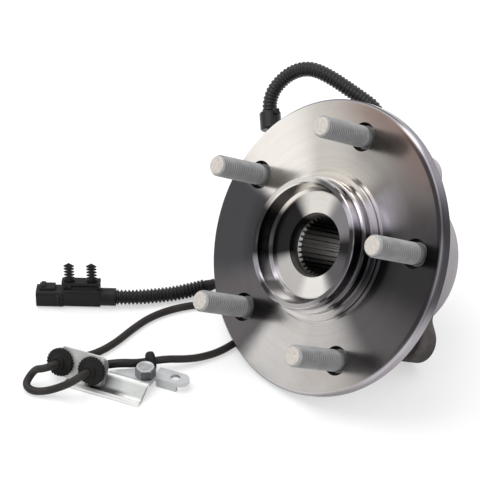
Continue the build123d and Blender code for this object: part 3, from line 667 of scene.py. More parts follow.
def turned_steel():
    """Turned and ground steel: fine rings, painted reflections in soft sectors, painted shade in the stud recesses and
    on part of the chamfer, edges bright with wear and a painted highlight, and a few stains.
    """
    colour = tuple(bpy.context.scene.hub_looks.steel)
    f = Finish("turned_steel", colour, 0.16, 1.0)
    radius, z, x, y = hub_measures(f)
    rings = f.streaks(radius + z, 900.0, 5.0)
    coarse = f.streaks(radius + z, 140.0, 2.0)
    cloud = f.noise(24.0, 4.0)
    face = flange_face(f, colour, radius, x, y, (cloud - 0.5) * 0.010)
    # Painted reflections in sectors on the pilot wall, the bore and the rim.
    wall = sectors(f, tuple(c * 0.28 for c in colour), x, y, WALL_PAINTED_REFLECTIONS)
    bore = sectors(f, tuple(c * 0.16 for c in colour), x, y, BORE_PAINTED_REFLECTIONS)
    rim = sectors(f, (0.15, 0.143, 0.158), x, y, RIM_PAINTED_REFLECTIONS)
    # Dark spline teeth, with painted light on those at one side.
    lit_teeth = f.mix(sector(x, y, -110, 24, 20), (0.030, 0.027, 0.025), (0.30, 0.29, 0.28))
    bore = f.mix(radius.ramp(*TEETH_TO_BORE), lit_teeth, bore)
    tone = f.mix(radius.ramp(*BORE_TO_WALL), bore, wall)
    tone = f.mix(radius.ramp(*WALL_TO_FACE), tone, face)
    tone = f.mix(radius.ramp(*FACE_TO_RIM), tone, rim)
    turned = radius.ramp(*TEETH_TO_TURNED)
    tone = f.mix(turned * coarse.ramp(0.35, 0.65, 0.0, 0.22), tone, (0.86, 0.86, 0.88), "MULTIPLY")
    tone = f.mix(turned * rings.ramp(0.50, 0.80, 0.0, 0.3), tone, (1.16, 1.16, 1.18), "MULTIPLY")
    tone = f.mix(cloud.ramp(0.50, 0.70, 0.0, 0.6), tone, (0.88, 0.82, 0.78), "MULTIPLY")
    shaded = radius.ramp(*FACE_TO_CHAMFER) * sector(x, y, 62, 42, 14)
    tone = f.mix(shaded * radius.ramp(*CHAMFER_TO_RIM, 0.85, 0.0), tone, (0.030, 0.028, 0.032))
    # Bright rim and pilot edges: part wear, part painted highlight, dimmed on one side.
    worn_and_lit_edges = (radius.near(RIM_EDGE, 0.0006) + radius.near(PILOT_EDGE, 0.0005) * z.ramp(0.0145, 0.0160)) * 0.6
    worn_and_lit_edges = worn_and_lit_edges * (1 - sector(x, y, 100, 52, 12) * 0.75)
    tone = f.mix(worn_and_lit_edges * (0.2 + cloud), tone, (0.66, 0.64, 0.68))
    # Painted shade in the stud recesses.
    f.colour(f.mix(stud_recess_shade(radius, z, x, y), tone, (0.012, 0.011, 0.011)))
    stained = cloud.ramp(0.4, 0.7, 0.0, 0.06)
    f.rough(0.14 + rings * 0.05 + stained + (1 - turned) * 0.25 + radius.near(NECK, 0.0065) * 0.12)
    f.bump(rings * 0.7 + coarse * 0.3, 0.000012)
    return f.material


def stud_steel():
    """Matte zinc-flake steel, with painted shade in the thread's roots."""
    colour = tuple(bpy.context.scene.hub_looks.stud_steel)
    f = Finish("stud_steel", colour, 0.42, 0.12)
    root = f.get("ShaderNodeAttribute", "Fac", {"attribute_name": "root"})
    grain = f.noise(900.0, 3.0)
    cloud = f.noise(160.0, 2.0)
    tone = f.mix(cloud.ramp(0.4, 0.7, 0.0, 0.5), colour, tuple(c * 0.62 for c in colour))
    height = f.along(AXIS_OUT, f.vector("SUBTRACT", f.place, tuple(HUB_MIDDLE)))
    tip = height.ramp(STUD_TIP - 0.0008, STUD_TIP - 0.0002)
    tone = f.mix(tip * grain.ramp(0.35, 0.65, 0.5, 1.0), tone, (0.52, 0.48, 0.43))
    # Painted shade in the thread roots, none on the tip.
    f.colour(f.mix(root * 0.95 * (1 - tip), tone, (0.030, 0.030, 0.032)))
    f.rough(0.40 + grain * 0.14)
    f.bump(grain, 0.00003)
    return f.material


def bearing_steel():
    """Ground and polished bearing steel."""
    f = Finish("bearing_steel", (0.72, 0.72, 0.73), 0.14, 1.0)
    cloud = f.noise(120.0, 2.0)
    f.rough(0.10 + cloud * 0.10)
    f.bump(f.noise(1500.0, 2.0), 0.000004)
    return f.material


def cast_iron():
    """Grey iron: machined on the body, rough on the ears, which have painted shade below and painted light at the top.
    """
    colour = tuple(bpy.context.scene.hub_looks.cast_iron)
    f = Finish("cast_iron", colour, 0.5, 0.6)
    radius, _, _, y = hub_measures(f)
    rough_part = radius.ramp(*BODY_TO_EARS)
    pebble = f.noise(700.0, 4.0, 0.65)
    cloud = f.noise(60.0, 3.0)
    body = f.mix(cloud.ramp(0.42, 0.88), colour, tuple(c * 0.88 for c in colour))
    # Painted shade on the lower ears, and painted light on the upper ones.
    lower_shade = f.mix(cloud.ramp(0.35, 0.7), (0.050, 0.043, 0.041), (0.105, 0.092, 0.088))
    ears = f.mix(y.ramp(0.0, 0.03), lower_shade, (0.34, 0.32, 0.335))
    f.colour(f.mix(rough_part, body, ears))
    f.rough(0.40 + pebble * 0.18 + rough_part * 0.15)
    f.bump(pebble * (rough_part * 0.8 + 0.2), 0.00022)
    return f.material


def zinc_sheet():
    """Cloudy zinc sheet with rolling lines, painted shade on its slope and in its crease, painted sheen streaks, and
    painted highlights along its bends.
    """
    colour = tuple(bpy.context.scene.hub_looks.zinc)
    f = Finish("zinc_sheet", colour, 0.4, 0.5)
    local = f.vector("SUBTRACT", f.place, tuple(BRACKET_CORNER))
    u = f.along(BRACKET_ALONG, local)
    v = f.along(BRACKET_ACROSS, local)
    slope = u.ramp(0.0200, 0.0215) * v.ramp(0.0030, 0.0050) * v.ramp(0.0105, 0.0130, 1.0, 0.0)
    plate = v.ramp(0.0135, 0.0155) * u.ramp(0.0235, 0.0245)
    cloud = f.noise(90.0, 4.0)
    lines = f.streaks(f.along((0.454, -0.891, 0.35)), 1500.0, 3.0)
    tone = f.mix(cloud.ramp(0.40, 0.66, 0.0, 0.65), colour, tuple(c * 0.66 for c in colour))
    # Painted shade on the slope, strongest at its start along the bracket.
    shade = u.ramp(0.021, 0.036, 1.0, 0.62) - cloud * 0.2
    tone = f.mix(slope * shade, tone, (0.10, 0.105, 0.108))
    tone = f.mix(plate * 0.45, tone, (0.34, 0.35, 0.385))
    # Painted sheen streaks along the strip.
    sheen = f.streaks(v + u * 0.10 + cloud * 0.004, 210.0, 2.0)
    tone = f.mix(sheen.ramp(0.48, 0.66, 0.0, 0.4) * (1 - plate), tone, (0.88, 0.885, 0.85))
    height = f.along(UP, local)
    # Painted highlights along the front edge and the top bend.
    front_edge_highlight = height.near(0.0012, 0.0011) * v.ramp(0.0, 0.0008, 1.0, 0.0)
    bend_highlights = v.near(0.0130, 0.0011) * u.ramp(0.020, 0.022) + front_edge_highlight
    tone = f.mix(bend_highlights * (0.45 + cloud * 0.7), tone, (0.86, 0.87, 0.88))
    # Painted shade in the crease at the foot of the wall.
    crease_shade = v.ramp(0.0020, 0.0030) * v.ramp(0.0044, 0.0064, 1.0, 0.0) * u.ramp(0.010, 0.016)
    crease_shade = crease_shade * u.ramp(0.029, 0.040, 1.0, 0.0) * height.ramp(0.0040, 0.0055, 1.0, 0.0)
    tone = f.mix(crease_shade, tone, (0.015, 0.015, 0.016))
    f.colour(tone)
    f.rough(0.38 + cloud * 0.14 + lines * 0.05)
    f.bump(lines * 0.4 + cloud * 0.6, 0.00003)
    return f.material


def bolt_zinc():
    """Grey zinc on the bolt, with painted light and shade: one side face darker, another lighter, and the top lighter.
    """
    f = Finish("bolt_zinc", (0.24, 0.25, 0.26), 0.34, 0.7)
    local = f.vector("SUBTRACT", f.place, tuple(BOLT_SEAT))
    x = f.along(BRACKET_ALONG, local)
    y = f.along(BRACKET_ACROSS, local)
    z = f.along(UP, local)
    cloud = f.noise(260.0, 3.0)
    # Painted shade on one side face and painted light on another.
    lit_and_shaded_flats = [(150, 30, 3, (0.05, 0.05, 0.055)), (-150, 30, 3, (0.22, 0.225, 0.23))]
    sides = sectors(f, (0.12, 0.12, 0.13), x, y, lit_and_shaded_flats)
    # Painted light on the top.
    tone = f.mix(z.ramp(0.0054, 0.0062), sides, (0.44, 0.45, 0.46))
    f.colour(f.mix(cloud.ramp(0.4, 0.7, 0.0, 0.4), tone, (0.20, 0.20, 0.21)))
    f.rough(0.28 + cloud * 0.18)
    f.bump(cloud, 0.00005)
    return f.material


def moulded(name, colour, roughness, grain, depth, gloss=0.17):
    """Moulded plastic or rubber with a fine grain and a faint bloom."""
    f = Finish(name, colour, roughness, 0.0, Specular_IOR_Level=gloss)
    fine = f.noise(grain, 3.0)
    bloom = f.noise(110.0, 3.0)
    f.colour(f.mix(bloom.ramp(0.45, 0.75, 0.0, 0.5), colour, tuple(c * 1.6 + 0.003 for c in colour)))
    f.rough(roughness - 0.06 + fine * 0.16)
    f.bump(fine, depth)
    return f.material


def tinned_blade():
    """Tinned brass blades, drawn lengthways."""
    f = Finish("tinned_blade", (0.74, 0.70, 0.58), 0.25, 1.0)
    lines = f.streaks(f.along(UP), 3000.0, 2.0)
    f.rough(0.18 + lines * 0.16)
    f.bump(lines, 0.00001)
    return f.material


MADE = {}


def finish_for(slot):
    """The material of a record slot, made once."""
    looks = bpy.context.scene.lead_looks
    plastic, rubber, jacket = tuple(looks.plastic), tuple(looks.rubber), tuple(looks.jacket)
    makers = {
        "turned_steel": turned_steel,
        "stud_steel": stud_steel,
        "bearing_steel": bearing_steel,
        "cast_iron": cast_iron,
        "zinc_steel": zinc_sheet,
        "bolt_zinc": bolt_zinc,
        "blade_metal": tinned_blade,
        "cage_plastic": lambda: moulded(slot, (0.60, 0.50, 0.33), 0.45, 900.0, 0.00001),
        "seal_rubber": lambda: moulded(slot, (0.025, 0.025, 0.026), 0.55, 1200.0, 0.00002),
        "sensor_plastic": lambda: moulded(slot, plastic, 0.42, 1600.0, 0.00003),
        "grommet_rubber": lambda: moulded(slot, rubber, 0.58, 1100.0, 0.00004),
        "conduit_plastic": lambda: moulded(slot, plastic, 0.34, 1400.0, 0.00002, 0.30),
        "sleeve_rubber": lambda: moulded(slot, rubber, 0.34, 1500.0, 0.00002),
        "cable_jacket": lambda: moulded(slot, jacket, 0.48, 1500.0, 0.00003),
        "clip_plastic": lambda: moulded(slot, plastic, 0.36, 1500.0, 0.00002),
    }
    if slot not in MADE:
        MADE[slot] = makers[slot]()
    return MADE[slot]


def dress(names):
    """Gives CAD nodes the finish of their own slot."""
    slots = {part["node"]: part["material_slot"] for part in frame["record"]["subparts"]}
    for name in names:
        mesh = nodes[name].data
        mesh.materials.clear()
        mesh.materials.append(finish_for(slots[name]))


# ------------------------------------------------------------------ mesh tools
def place_mesh(name, mesh, body, slot, crease_shade, finish=None):
    """Makes an object of a mesh, smooth but for its creases, that rides on a body.

    Its finish is its slot's, unless another is named.
    """
    mesh.polygons.foreach_set("use_smooth", [True] * len(mesh.polygons))
    mesh.set_sharp_from_angle(angle=math.radians(crease_shade))
    mesh.materials.append(finish_for(finish or slot))
    piece = bpy.data.objects.new(name, mesh)
    bpy.context.scene.collection.objects.link(piece)
    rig.ride(piece, body)
    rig.slot(piece, slot)
    return piece


def skin(name, tubes):
    """A mesh of closed tubes, each a list of equally long rings, capped at both ends."""
    spots, faces = [], []
    for rings in tubes:
        first, sides = len(spots), len(rings[0])
        for ring in rings:
            spots.extend(ring)
        for i in range(len(rings) - 1):
            for j in range(sides):
                a, b = first + i * sides + j, first + i * sides + (j + 1) % sides
                faces.append((a, b, b + sides, a + sides))
        for ring, start, turn in ((rings[0], first, -1), (rings[-1], first + (len(rings) - 1) * sides, 1)):
            middle = len(spots)
            spots.append(sum(ring, Vector()) / sides)
            for j in range(sides):
                pair = (start + j, start + (j + 1) % sides)
                faces.append((*pair[::turn], middle))
    mesh = bpy.data.meshes.new(name)
    mesh.from_pydata([tuple(spot) for spot in spots], [], faces)
    mesh.update()
    return mesh


def route_curve(name, route, radius):
    """A smooth NURBS cord along a route."""
    curve = bpy.data.curves.new(name, "CURVE")
    curve.dimensions = "3D"
    curve.resolution_u = 14
    curve.bevel_depth = radius
    curve.bevel_resolution = 6
    curve.use_fill_caps = True
    spline = curve.splines.new("NURBS")
    spline.points.add(len(route) - 1)
    for point, spot in zip(spline.points, route):
        point.co = (*spot, 1)
    spline.order_u = 3
    spline.use_endpoint_u = True
    return curve


def followed(route):
    """The points of a route's smooth line, evenly read from its spline."""
    line = bpy.data.objects.new("line", route_curve("line", route, 0))
    bpy.context.scene.collection.objects.link(line)
    bpy.context.view_layer.update()
    mesh = bpy.data.meshes.new_from_object(line)
    points = [vertex.co.copy() for vertex in mesh.vertices]
    bpy.data.objects.remove(line)
    bpy.data.meshes.remove(mesh)
    return points


def stepped(points, step):
    """Places at equal steps along a line, each with its direction and distance."""
    runs = [(b - a).length for a, b in zip(points, points[1:])]
    total = sum(runs)
    count = max(2, round(total / step))
    places, i, before = [], 0, 0.0
    for k in range(count + 1):
        target = total * k / count
        while i < len(runs) - 1 and before + runs[i] < target:
            before += runs[i]
            i += 1
        share = (target - before) / runs[i]
        way = (points[i + 1] - points[i]).normalized()
        places.append((points[i].lerp(points[i + 1], share), way, target))
    return places, total


def ring_round(middle, side, other, radii):
    """Points round a middle, evenly turned from one side to the other, each at its own radius."""
    ring = []
    for j, radius in enumerate(radii):
        turn = math.tau * j / len(radii)
        ring.append(middle + (side * math.cos(turn) + other * math.sin(turn)) * radius)
    return ring


def tube_rings(places, radius_at, sides):
    """Rings round a line, turned as little as possible from one to the next."""
    side = places[0][1].orthogonal().normalized()
    rings = []
    for spot, way, distance in places:
        side = (side - way * side.dot(way)).normalized()
        rings.append(ring_round(spot, side, way.cross(side), [radius_at(distance)] * sides))
    return rings


def turned_rings(foot, way, side, profile, sides, shape=None):
    """Rings of a turned piece from heights and radii; a shape bends a radius by turn and height."""
    other = way.cross(side)
    rings = []
    for height, radius in profile:
        radii = [radius] * sides
        if shape:
            radii = [shape(radius, math.tau * j / sides, height) for j in range(sides)]
        rings.append(ring_round(foot + way * height, side, other, radii))
    return rings


# ------------------------------------------------------------------ pieces
class Piece:
    """What the operators share."""

    bl_options = {"REGISTER"}


def stud_rings(angle, pitch, depth):
    """Rings of one threaded stud, and how far in the thread's roots each of their points lies, 0 to 1."""
    out = RADIAL_UP * math.cos(angle) + ACROSS * math.sin(angle)
    side = AXIS_OUT.cross(out)
    foot = HUB_MIDDLE + out * STUD_CIRCLE
    rings, roots = [], []

    def threaded(z, share):
        phase = (z / pitch - share) % 1.0
        groove = min(1.0, max(0.0, 2.6 * abs(phase - 0.5) - 0.12))
        cut = groove * min(1.0, (z - THREAD_START) / 0.0012)
        radius = min(STUD_RADIUS - depth * cut, STUD_RADIUS - max(0.0, z - THREAD_END) * 0.72)
        if z > THREAD_END:
            return max(radius, 0.0045), 0.0
        return radius, cut

    def add_ring(z, shape):
        radii, depths = zip(*[shape(z, j / STUD_SIDES) for j in range(STUD_SIDES)])
        rings.append(ring_round(foot + AXIS_OUT * z, out, side, radii))
        roots.extend(depths)

    for z, radius in STUD_BODY:
        add_ring(z, lambda z, share: (radius, 0.0))
    for i in range(THREAD_STEPS):
        add_ring(THREAD_START + (STUD_TIP - THREAD_START) * (i + 1) / THREAD_STEPS, threaded)
    add_ring(STUD_TIP, lambda z, share: (STUD_TIP_RADIUS, 0.0))
    return rings, roots


class HUB_OT_studs(Piece, bpy.types.Operator):
    """Builds the five threaded wheel studs"""

    bl_idname = "hub.studs"
    bl_label = "Wheel studs"

    def execute(self, context):
        looks = context.scene.hub_looks
        tubes, roots = [], []
        for angle in STUD_ANGLES:
            rings, depths = stud_rings(angle, looks.thread_pitch, looks.thread_depth)
            tubes.append(rings)
            roots += [*depths, 0.0, 0.0]
        mesh = skin("threaded_studs", tubes)
        # The root depth carries the painted shade in the thread roots.
        mesh.attributes.new("root", "FLOAT", "POINT").data.foreach_set("value", roots)
        piece = place_mesh("threaded_studs", mesh, "hub", "stud_steel", 50)
        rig.replaces(piece, "wheel_studs")
        return {"FINISHED"}


class HUB_OT_hub(Piece, bpy.types.Operator):
    """Gives the turned flange, the bearing and the carrier their finishes"""

    bl_idname = "hub.turned"
    bl_label = "Hub, bearing and carrier"

    def execute(self, context):
        dress(["hub_flange", "inner_ring", "encoder_ring", "carrier", "speed_sensor", "sensor_screw"])
        for row in ("outboard", "inboard"):
            dress([row + "_balls", row + "_cage", row + "_seal"])
        return {"FINISHED"}


class HUB_OT_bracket(Piece, bpy.types.Operator):
    """Gives the bracket its finish"""

    bl_idname = "hub.bracket"
    bl_label = "Bracket"

    def execute(self, context):
        dress(["bracket"])
        return {"FINISHED"}


class HUB_OT_bolt(Piece, bpy.types.Operator):
    """Builds the bolt's hexagon head with its turned-off corners"""

    bl_idname = "hub.bolt"
    bl_label = "Bracket bolt"

    def execute(self, context):
        half_width = 0.005

        def hexagon(radius, turn, height):
            corner = half_width / math.cos((turn + math.pi / 6) % (math.pi / 3) - math.pi / 6)
            return min(radius, corner) if height > 0 else radius

        profile = [
            (-0.0053, 0.0028),
            (-0.0050, 0.0030),
            (0.0, 0.0030),
            (0.00001, 0.0052),
            (0.0004, 0.00577),
            (0.0052, 0.00577),
            (0.0062, 0.0048),
            (0.0062, 0.0038),
            (0.0059, 0.0034),
        ]
        rings = turned_rings(BOLT_SEAT, UP, BRACKET_ALONG, profile, 72, hexagon)
        mesh = skin("hexagon_bolt", [rings])
        piece = place_mesh("hexagon_bolt", mesh, "carrier_body", "zinc_steel", 20, "bolt_zinc")
        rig.replaces(piece, "bracket_bolt")
        return {"FINISHED"}


KNURLS = 26
KNURL_DEPTH = 0.00060
LIP_RADIUS = 0.0080

# A wall grommet from front to back: heights behind the wall's front face, and radii.
GROMMET_PROFILE = [
    (-0.0060, 0.0026),
    (-0.0060, 0.0033),
    (-0.0057, 0.0037),
    (-0.0038, 0.0041),
    (-0.0033, 0.0048),
    (-0.0031, 0.0066),
    (-0.0029, 0.0075),
    (-0.0022, 0.0080),
    (-0.0006, 0.0080),
    (-0.0001, 0.0077),
    (0.0, 0.0056),
    (0.0020, 0.0056),
    (0.00201, 0.0068),
    (0.0026, 0.0068),
    (0.0050, 0.0058),
    (0.0050, 0.0030),
]

# The rubber stop on the cable: distances from the sleeve's end, and radii.
STOP_PROFILE = [
    (0.0, 0.0025),
    (0.0, 0.0036),
    (0.0003, 0.0046),
    (0.0010, 0.0053),
    (0.0020, 0.0056),
    (0.0034, 0.0056),
    (0.0043, 0.0053),
    (0.0048, 0.0044),
    (0.0050, 0.0032),
    (0.0050, 0.0022),
]


def knurled(radius, turn, height):
    """Cuts notches round the lip and leaves the rest round."""
    if radius < LIP_RADIUS - 0.0007:
        return radius
    return radius - KNURL_DEPTH * (0.5 + 0.5 * math.cos(KNURLS * turn)) ** 2


class HUB_OT_grommets(Piece, bpy.types.Operator):
    """Builds the knurled rubber grommets on the wall and the rubber stop on the cable"""

    bl_idname = "hub.grommets"
    bl_label = "Grommets"

    def execute(self, context):
        for name, along in GROMMETS.items():
            label = "knurled_grommet_" + name
            foot = on_wall(along, GROMMET_HEIGHT)
            rings = turned_rings(foot, WALL_BACK, BRACKET_ALONG, GROMMET_PROFILE, 180, knurled)
            piece = place_mesh(label, skin(label, [rings]), "carrier_body", "grommet_rubber", 40)
            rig.replaces(piece, "bracket_grommet_" + name)
        foot = Vector(SLEEVE_ROUTE[0])
        way = (Vector(REAR_ROUTE[-1]) - foot).normalized()
        rings = turned_rings(foot, way, UP, STOP_PROFILE, 64)
        piece = place_mesh("cable_stop", skin("cable_stop", [rings]), "carrier_body", "grommet_rubber", 50)
        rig.replaces(piece, "collar_grommet")
        return {"FINISHED"}


class HUB_OT_tape(Piece, bpy.types.Operator):
    """Winds the tape that joins the thin cable and the conduit, in overlapping laps"""

    bl_idname = "hub.tape"
    bl_label = "Tape"

    def execute(self, context):
        start, stop = Vector(TAIL_ROUTE[0]), Vector(LEAD_ROUTE[-1])
        lap, lift, steps = 0.0042, 0.00030, 60
        way = (stop - start).normalized()
        total = (stop - start).length

        def lapped(radius, turn, height):
            share = (height / lap + turn / math.tau) % 1.0
            return radius - lift * share

        taper = [(total * i / steps, 0.0036 - 0.0010 * (i / steps) ** 1.3) for i in range(1, steps)]
        profile = [(0.0, 0.0033), *taper, (total, 0.0024)]
        rings = turned_rings(start, way, UP, profile, 48, lapped)
        piece = place_mesh("wound_tape", skin("wound_tape", [rings]), "carrier_body", "cable_jacket", 25)
        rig.replaces(piece, "tape_wrap")
        return {"FINISHED"}


def clip_profile():
    """Heights and radii of a push-in clip: its foot, its fins on the stem, and its pointed tip."""
    profile = [
        (0.0, CLIP_REACH - 0.0001),
        (0.0002, CLIP_REACH),
        (0.0006, CLIP_REACH),
        (0.0009, CLIP_STEM + 0.0002),
        (0.0011, CLIP_STEM),
    ]
    pitch = (CLIP_HEIGHT - 0.0038) / CLIP_FINS
    for i in range(CLIP_FINS):
        low = 0.0016 + i * pitch
        profile += [
            (low, CLIP_STEM),
            (low + 0.00025, CLIP_REACH - 0.0002),
            (low + 0.00035, CLIP_REACH),
            (low + 0.00050, CLIP_REACH - 0.0002),
            (low + pitch * 0.40, CLIP_STEM + 0.0002),
        ]
    return profile + [
        (CLIP_HEIGHT - 0.0022, CLIP_STEM),
        (CLIP_HEIGHT - 0.0021, CLIP_REACH - 0.0001),
        (CLIP_HEIGHT - 0.0018, CLIP_REACH - 0.0001),
        (CLIP_HEIGHT, 0.0004),
    ]


class HUB_OT_connector(Piece, bpy.types.Operator):
    """Gives the connector and its rail their finishes, and builds the two finned clips"""

    bl_idname = "hub.connector"
    bl_label = "Connector and clips"

    def execute(self, context):
        dress(["connector_housing", "connector_blades", "connector_lock", "clip_rail", "conduit_collar"])

        def flattened(radius, turn, height):
            depth = min(radius, CLIP_DEPTH)
            return radius * depth / math.hypot(depth * math.cos(turn), radius * math.sin(turn))

        tubes = [turned_rings(foot, UP, CONNECTOR_WAY, clip_profile(), 48, flattened) for foot in CLIP_FEET]
        piece = place_mesh("finned_clips", skin("finned_clips", tubes), "carrier_body", "clip_plastic", 35)
        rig.replaces(piece, "fir_tree_clips")
        return {"FINISHED"}


STEPS_PER_RIB = 8
CONDUIT_SIDES = 28


def conduit(name, route, share, crown):
    """A corrugated conduit along a route: share of the full rib depth, crown for how square the ribs are."""
    looks = bpy.context.scene.lead_looks
    points = followed(route)
    places, total = stepped(points, looks.rib_pitch / STEPS_PER_RIB)
    ribs = max(1, round(total / looks.rib_pitch))
    crest, depth = looks.conduit / 2, looks.rib_depth * share

    def radius_at(distance):
        wave = 0.5 - crown * math.cos(math.tau * distance * ribs / total)
        return crest - depth * (1 - min(1.0, max(0.0, wave)))

    mesh = skin(name, [tube_rings(places, radius_at, CONDUIT_SIDES)])
    return place_mesh(name, mesh, "carrier_body", "conduit_plastic", 60), points


class HUB_OT_conduits(Piece, bpy.types.Operator):
    bl_idname = "hub.conduits"
    bl_label = "Corrugated conduits"

    def execute(self, context):
        looks = context.scene.lead_looks
        arch, points = conduit("arch_conduit", ARCH_ROUTE, 0.55, 0.75)
        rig.replaces(arch, "sensor_conduit")
        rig.cord(
            arch,
            exit=ARCH_ROUTE[0],
            length=0.1032,
            diameter=looks.conduit,
            far_end="fitting",
            stiffness="stiff",
            lay="loose",
            path=points,
            with_pieces=["conduit_collar"],
        )
        tail, points = conduit("tail_conduit", TAIL_ROUTE, 1.0, 0.85)
        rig.replaces(tail, "connector_conduit")
        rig.cord(
            tail,
            exit=TAIL_ROUTE[0],
            length=0.0532,
            diameter=looks.conduit,
            far_end="connector",
            stiffness="stiff",
            lay="loose",
            path=points,
            with_pieces=[
                "connector_housing",
                "connector_blades",
                "connector_lock",
                "clip_rail",
                "finned_clips",
            ],
        )
        return {"FINISHED"}


# Each cable's name, route, the node it stands for, its length, and the pieces on it.
CABLES = [
    ("rear_lead", REAR_ROUTE, "rear_cable", 0.2016, ["cable_stop"]),
    ("sleeve", SLEEVE_ROUTE, "cable_sleeve", 0.0309, ["knurled_grommet_right", "bracket", "hexagon_bolt"]),
    ("loop", LOOP_ROUTE, "loop_cable", 0.0718, ["knurled_grommet_left"]),
    ("front_lead", LEAD_ROUTE, "lead_cable", 0.1757, ["wound_tape"]),
]


class HUB_OT_cables(Piece, bpy.types.Operator):
    bl_idname = "hub.cables"
    bl_label = "Cables"

    def execute(self, context):
        looks = context.scene.lead_looks
        for name, route, node, length, pieces in CABLES:
            thick = name == "sleeve"
            diameter = looks.sleeve if thick else looks.cable
            curve = route_curve(name, route, diameter / 2)
            curve.materials.append(finish_for("sleeve_rubber" if thick else "cable_jacket"))
            piece = bpy.data.objects.new(name, curve)
            context.scene.collection.objects.link(piece)
            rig.ride(piece, "carrier_body")
            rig.slot(piece, "cable_jacket")
            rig.replaces(piece, node)
            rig.cord(
                piece,
                exit=route[0],
                length=length,
                diameter=diameter,
                far_end="fitting",
                stiffness="medium",
                lay="loose",
                with_pieces=pieces,
            )
        return {"FINISHED"}


# ------------------------------------------------------------------ stage
EYE = Vector((0.65291, -0.59851, 0.66854))
EYE_RIGHT = Vector((0.62857, 0.77775, 0.0))
EYE_UP = Vector((-0.43549, 0.35196, 0.82854))
SENSOR_WIDTH = 36.0
LENS = 146.56
FLOOR_REACH = 3.0
LIGHT_STRENGTH = 0.8


def set_camera(scene):
    """Stands the camera at its eye point and turns it to its own right and up."""
    camera = bpy.data.objects.new("camera", bpy.data.cameras.new("camera"))
    scene.collection.objects.link(camera)
    away = EYE_RIGHT.cross(EYE_UP).normalized()
    turn = Matrix((EYE_RIGHT, EYE_UP, away)).transposed()
    camera.matrix_world = Matrix.Translation(EYE) @ turn.to_4x4()
    camera.data.sensor_width = SENSOR_WIDTH
    camera.data.lens = LENS
    camera.data.clip_start = 0.05
    camera.data.clip_end = 20.0
    scene.camera = camera


def lay_floor(scene):
    """A pale floor that keeps a soft shadow near the part and looks white further off."""
    mesh = bpy.data.meshes.new("floor")
    corners = [(x * FLOOR_REACH, y * FLOOR_REACH, 0) for x, y in ((-1, -1), (1, -1), (1, 1), (-1, 1))]
    mesh.from_pydata(corners, [], [(0, 1, 2, 3)])
    floor = bpy.data.objects.new("floor", mesh)
    scene.collection.objects.link(floor)
    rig.stage(floor)
    f = Finish("floor", (0.88, 0.88, 0.88), 0.9)
    x = f.along(ACROSS)
    y = f.along((0, 1, 0))
    far = (x * x + y * y).ramp(0.09, 0.8)
    seen = f.get("ShaderNodeLightPath", "Is Camera Ray")
    pale = Value(f, f.shader.outputs[0])
    white = f.get("ShaderNodeEmission", "Emission", Color=(1, 1, 1))
    f.feed(f.tree.nodes["Material Output"].inputs["Surface"], f.blend(seen * (0.5 + far * 0.5), pale, white))
    mesh.materials.append(f.material)


def set_surround(scene):
    """A surround that is white where it is seen or mirrored, and a little dimmer as light."""
    world = bpy.data.worlds.new("surround")
    world.use_nodes = True
    world.node_tree.nodes.clear()
    s = Shading(world.node_tree)
    seen = s.get("ShaderNodeLightPath", "Is Camera Ray")
    for ray in ("Is Glossy Ray", "Is Transmission Ray"):
        seen = seen.sum("MAXIMUM", s.get("ShaderNodeLightPath", ray))
    dim = s.get("ShaderNodeBackground", "Background", Color=(1, 1, 1), Strength=LIGHT_STRENGTH)
    white = s.get("ShaderNodeBackground", "Background", Color=(1, 1, 1), Strength=1.0)
    s.node("ShaderNodeOutputWorld", (), {"Surface": s.blend(seen, dim, white)})
    scene.world = world


def soft_light(name, spot, aim, size, power):
    """A rectangular lamp at a spot, aimed at another."""
    lamp = bpy.data.lights.new(name, "AREA")
    lamp.shape = "RECTANGLE"
    lamp.size, lamp.size_y = size
    lamp.energy = power
    light = bpy.data.objects.new(name, lamp)
    light.location = spot
    light.rotation_euler = (Vector(aim) - Vector(spot)).to_track_quat("-Z", "Y").to_euler()
    bpy.context.scene.collection.objects.link(light)


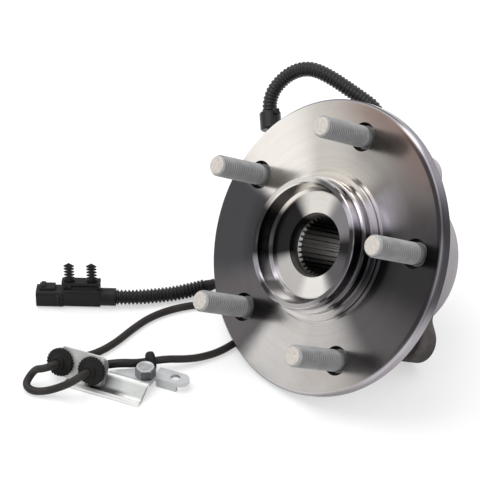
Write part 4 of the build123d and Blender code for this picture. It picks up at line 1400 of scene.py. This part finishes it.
class HUB_OT_stage(Piece, bpy.types.Operator):
    """Sets the floor, the white surround, the soft lights and the camera"""

    bl_idname = "hub.stage"
    bl_label = "Floor, light and camera"

    def execute(self, context):
        scene = context.scene
        set_camera(scene)
        lay_floor(scene)
        set_surround(scene)
        soft_light("key", (-0.45, -0.35, 1.30), (0, 0, 0.05), (1.3, 1.3), 15)
        soft_light("fill", (1.1, -0.3, 0.7), (0, 0, 0.06), (0.8, 0.8), 3)
        soft_light("back", (0.1, 1.1, 0.9), (0, 0, 0.06), (0.9, 0.6), 5)
        scene.view_settings.view_transform = "Standard"
        return {"FINISHED"}


class HUB_PT_panel(bpy.types.Panel):
    """Lists the pieces and their sizes and colours"""

    bl_label = "Hub bearing"
    bl_idname = "HUB_PT_panel"
    bl_space_type = "VIEW_3D"
    bl_region_type = "UI"
    bl_category = "Hub bearing"

    def draw(self, context):
        for looks in (context.scene.hub_looks, context.scene.lead_looks):
            for name in looks.__annotations__:
                self.layout.prop(looks, name)
        for operator in OPERATORS:
            self.layout.operator(operator.bl_idname)


OPERATORS = [
    HUB_OT_stage,
    HUB_OT_studs,
    HUB_OT_hub,
    HUB_OT_bracket,
    HUB_OT_bolt,
    HUB_OT_grommets,
    HUB_OT_tape,
    HUB_OT_connector,
    HUB_OT_conduits,
    HUB_OT_cables,
]


def register():
    for item in (HubLooks, LeadLooks, *OPERATORS, HUB_PT_panel):
        bpy.utils.register_class(item)
    bpy.types.Scene.hub_looks = bpy.props.PointerProperty(type=HubLooks)
    bpy.types.Scene.lead_looks = bpy.props.PointerProperty(type=LeadLooks)


def unregister():
    del bpy.types.Scene.lead_looks
    del bpy.types.Scene.hub_looks
    for item in reversed((HubLooks, LeadLooks, *OPERATORS, HUB_PT_panel)):
        bpy.utils.unregister_class(item)


def main():
    register()
    for operator in OPERATORS:
        group, name = operator.bl_idname.split(".")
        getattr(getattr(bpy.ops, group), name)()
    boxes = {"cad": cad_box, "visual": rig.bounds()}
    with open("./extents.json", "w") as out:
        json.dump({name: [list(corner) for corner in box] for name, box in boxes.items()}, out)


if __name__ == "__main__":
    main()
